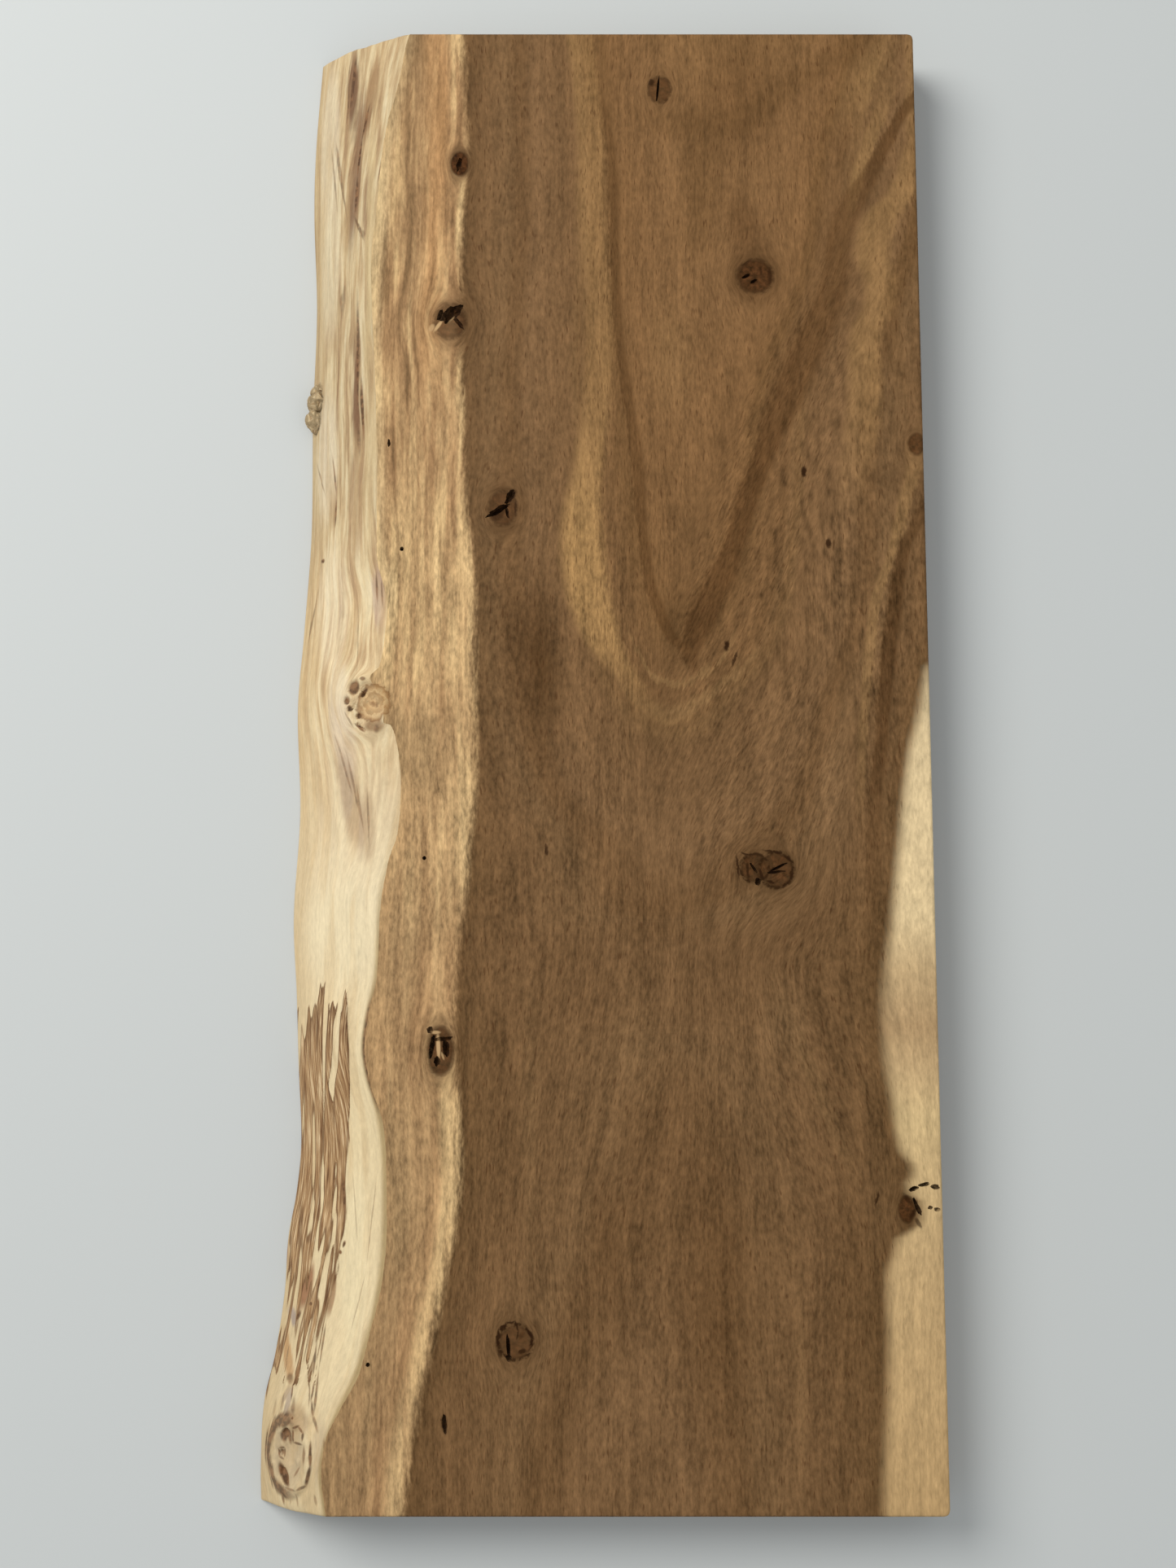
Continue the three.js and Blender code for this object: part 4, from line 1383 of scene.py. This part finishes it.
    # Cracks and beetles' holes
    uneven = w.swayed(0.0, shake, 1.6)
    mark_place = w.moved(radial, w.joined(uneven, uneven, 0.0))
    marks = w.times(marked(w, mark_place, MARKS), near_front)
    near_wane = w.times(w.remap(from_wane, 1.8, 0.3), w.line(along, DARK_RIM))
    marks = w.most(marks, w.times(near_wane, near_front))
    shade = w.mix(marks, shade, CRACK)
    splinters = w.times(marked(w, w.joined(across, along, 0.0), SPLINTERS), near_front)
    shade = w.mix(splinters, shade, SPLINTER)
    w.put(result["Splinters"], splinters)

    w.put(result["Colour"], w.vector("SUBTRACT", shade, SHEEN_SHARE))
    w.put(result["Height"], w.noise(w.stretched(place, (0.8, 0.22, 0.8)), detail=1.0))


def new_material(name, roughness, specular):
    material = bpy.data.materials.new(name)
    material.use_nodes = True
    w = Wiring(material.node_tree)
    shader = material.node_tree.nodes["Principled BSDF"]
    shader.inputs["Roughness"].default_value = roughness
    shader.inputs["Specular IOR Level"].default_value = specular
    return material, w, shader


def relief(w, shader, height, distance):
    """Raises and sinks the surface by a height, as far as the distance in millimetres."""
    inputs = {"Height": height, "Distance": distance * MM}
    w.put(shader.inputs["Normal"], w.node("ShaderNodeBump", inputs).outputs[0])


def sawn_material():
    """Sanded faces, and the rougher, darker sawn ends."""
    material, w, shader = new_material("sanded sawn wood", SANDED_ROUGHNESS, 0.1)
    made = w.group("sawn figure")
    facing = w.parts(w.node("ShaderNodeTexCoord").outputs["Normal"])[1]
    end = w.remap(w.math("ABSOLUTE", facing), 0.6, 0.95)
    shade = w.scaled(made["Colour"], w.times_plus(end, -END_DARKNESS, 1.0))
    w.put(shader.inputs["Base Color"], shade)
    rougher = END_ROUGHNESS - SANDED_ROUGHNESS
    w.put(shader.inputs["Roughness"], w.times_plus(end, rougher, SANDED_ROUGHNESS))
    relief(w, shader, made["Height"], 0.1)
    return material


def hollow_material():
    """Torn walls of the hollows in the knots, darkened with painted shade, with a few light splinters.
    """
    material, w, shader = new_material("knot hollow", 0.85, 0.1)
    made = w.group("sawn figure")
    place = w.group("slab place")["Place"]
    torn = w.noise(place, scale=0.55, detail=3.0)
    bare = w.minus(1.0, made["Splinters"])
    # Painted shade on the hollows' walls, made uneven by the torn noise and left off the splinters
    painted_shade = w.times(w.remap(torn, 0.42, 0.66, 0.85, 0.35), bare)
    shade = w.mix(painted_shade, made["Colour"], HOLLOW_PAINTED_SHADE)
    w.put(shader.inputs["Base Color"], shade)
    relief(w, shader, torn, 0.8)
    return material


def natural_material():
    """The tree's own outer surface: pale sapwood with fissures and remains of inner bark."""
    material, w, shader = new_material("natural edge", 0.65, 0.15)
    place = w.group("slab place")["Place"]
    across, along, depth = w.parts(place)
    reach, bark, pit = (
        w.node("ShaderNodeAttribute", attribute_name=name).outputs["Fac"]
        for name in ("reach", "bark", "pit")
    )
    flat = w.joined(across, along, 0.0)
    side_knots = [(*k[:4], 0.0, 0.0, 0.0) for k in SIDE_KNOTS]
    knots = knotted(w, flat, side_knots)
    round_side = w.times_plus(reach, 30.0, depth)
    bent = w.minus(round_side, w.times(knots["Bend"], 1.3))
    slow = w.noise(w.stretched(place, (1 / 40, 1 / 90, 1 / 40)), detail=1.0)
    bent = w.swayed(bent, slow, 12.0)
    fibre = w.group("fibre", {"Grain": w.joined(bent, along, depth)})

    # Clean wood: smooth and cream below, streaked and weathered above
    smooth = w.ramp(along, SMOOTH_WOOD)
    stretched = w.joined(w.over(bent, 4.0), w.over(along, 62.0), 4.0)
    striped = w.ramp(w.noise(stretched, detail=3.0, roughness=0.6), STRIPED_WOOD)
    weathered = w.remap(along, 290.0, 430.0, 0.06, 0.8)
    shade = w.mix(weathered, smooth, striped)
    shade = w.mix(w.remap(reach, 0.62, 0.95, 0.0, 0.55), shade, TAN_FOOT)
    frayed = w.times(w.minus(fibre["Streaks"], 0.5), 6.0)
    uneven = w.moved(flat, w.joined(frayed, 0.0, 0.0))
    shade = stained(w, uneven, shade, SIDE_STAINS, full=0.45)
    warm = w.times(w.remap(fibre["Tone"], 0.5, 0.66), 0.35)
    shade = w.mix(warm, shade, WARM_WOOD)
    shade = w.scaled(shade, w.line(along, SIDE_BRIGHTNESS))

    # Remains of inner bark
    upright = w.times_plus(w.minus(bent, round_side), 0.35, round_side)
    stretched = w.joined(w.over(upright, 1.15), w.over(along, 24.0), 0.0)
    strands = w.noise(stretched, detail=3.0, roughness=0.65)
    bark_shade = w.ramp(strands, BARK_STRANDS)
    tips = w.times(w.remap(along, 206.0, 252.0, 0.0, 0.6), w.remap(strands, 0.62, 0.45))
    bark_shade = w.mix(tips, bark_shade, BARK_TIP)
    edge_dark = w.remap(w.apart(bark, 0.4), 0.8, 0.2, 0.0, 0.5)
    bark_shade = w.mix(edge_dark, bark_shade, BARK_EDGE)
    shade = w.mix(w.remap(bark, -0.2, 0.3), shade, bark_shade)

    # Thin olive line where the side meets the sawn front, and the whorl there
    rim = w.times(w.remap(reach, 0.07, 0.0), w.remap(along, 380.0, 250.0, 0.0, 0.8))
    shade = w.mix(rim, shade, OLIVE_RIM)
    whorl, whorl_shade = whorl_figure(w, flat)
    shade = w.mix(whorl, shade, whorl_shade)

    # Lumps, pits and fissures: dark marks, cracks and the dark ring round a knot, with painted shade
    # in the pits, darker the deeper they are
    lumps = w.noise(place, scale=0.3, detail=2.0)
    mark_place = w.moved(flat, w.joined(w.times(frayed, 0.22), 0.0, 0.0))
    marks = marked(w, mark_place, SIDE_MARKS)
    # Painted shade in the side knots' pits, by how deep each pit is
    marks_and_pit_shade = w.most(marks, w.remap(pit, 0.5, 2.4, 0.0, 0.9))
    crack = w.times(w.remap(reach, 0.05, 0.0), w.line(along, DARK_RIM))
    marks_and_pit_shade = w.most(marks_and_pit_shade, crack)
    ring_out = oval(w, uneven, *SIDE_KNOTS[1][:4], 0)
    ring = w.remap(w.apart(ring_out, 1.04), 0.24, 0.08, 0.0, 0.85)
    marks_and_pit_shade = w.most(marks_and_pit_shade, w.times(ring, w.remap(across, 314.0, 324.0)))
    marks_and_pit_shade_colour = w.mix(w.remap(lumps, 0.4, 0.62), PIT_DARK, PIT_LIGHT)
    shade = w.mix(marks_and_pit_shade, shade, marks_and_pit_shade_colour)
    shade = toned(w, shade, (fibre["Streaks"], 0.3), (fibre["Fine"], 0.4))
    w.put(shader.inputs["Base Color"], shade)
    height = w.times_plus(fibre["Streaks"], 1.5, w.times(strands, 1.5))
    relief(w, shader, height, 0.25)
    return material


def make_slab(materials):
    sawn, natural, hollow = materials
    bm = bmesh.new()
    slab_front(bm)
    slab_back_and_edges(bm)
    slab = mesh_object("monkeypod_slab", bm, [sawn, natural])
    combine(slab, burl_lumps(natural), "UNION")
    combine(slab, hollow_tools(hollow), "DIFFERENCE")
    return slab


def make_floor():
    """A plain pale surface under the slab."""
    bm = bmesh.new()
    bmesh.ops.create_grid(bm, x_segments=1, y_segments=1, size=FLOOR_HALF_WIDTH)
    bmesh.ops.translate(bm, vec=(0, 0, -FLOOR_GAP * MM), verts=bm.verts)
    material, _, shader = new_material("pale floor", 0.8, 0.2)
    shader.inputs["Base Color"].default_value = colour(*FLOOR_COLOUR)
    return mesh_object("floor", bm, [material])


def make_lights():
    for name, (place, size, power, shade) in LIGHTS.items():
        light = bpy.data.lights.new(name, "AREA")
        light.shape = "DISK"
        light.size = size
        light.energy = power
        light.color = shade
        made = new_object(name, light)
        made.location = place
        made.rotation_euler = (-Vector(place)).to_track_quat("-Z", "Y").to_euler()
    world = bpy.data.worlds.new("soft room")
    world.use_nodes = True
    background = world.node_tree.nodes["Background"]
    background.inputs["Color"].default_value = SKY_COLOUR
    background.inputs["Strength"].default_value = SKY_STRENGTH
    bpy.context.scene.world = world


def make_camera():
    camera = bpy.data.cameras.new("camera")
    camera.lens = LENS
    camera.sensor_width = SENSOR
    camera.clip_start = 0.01
    made = new_object("camera", camera)
    ahead = BOTTOM_END_Y + CAMERA_ALONG
    right = SAWN_EDGE_X - CAMERA_ACROSS
    made.location = Vector((right, ahead, FRONT_Z + CAMERA_HEIGHT)) * MM
    made.rotation_euler = (CAMERA_TILT, 0, 0)
    bpy.context.scene.camera = made


make_camera()
make_lights()
bpy.context.scene.view_settings.view_transform = "Standard"

for make_group in (place_group, knot_group, oval_group, fibre_group, figure_group):
    make_group()
materials = [sawn_material(), natural_material(), hollow_material()]
slab = make_slab(materials)
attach(slab, "root")
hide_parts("slab")
make_floor()
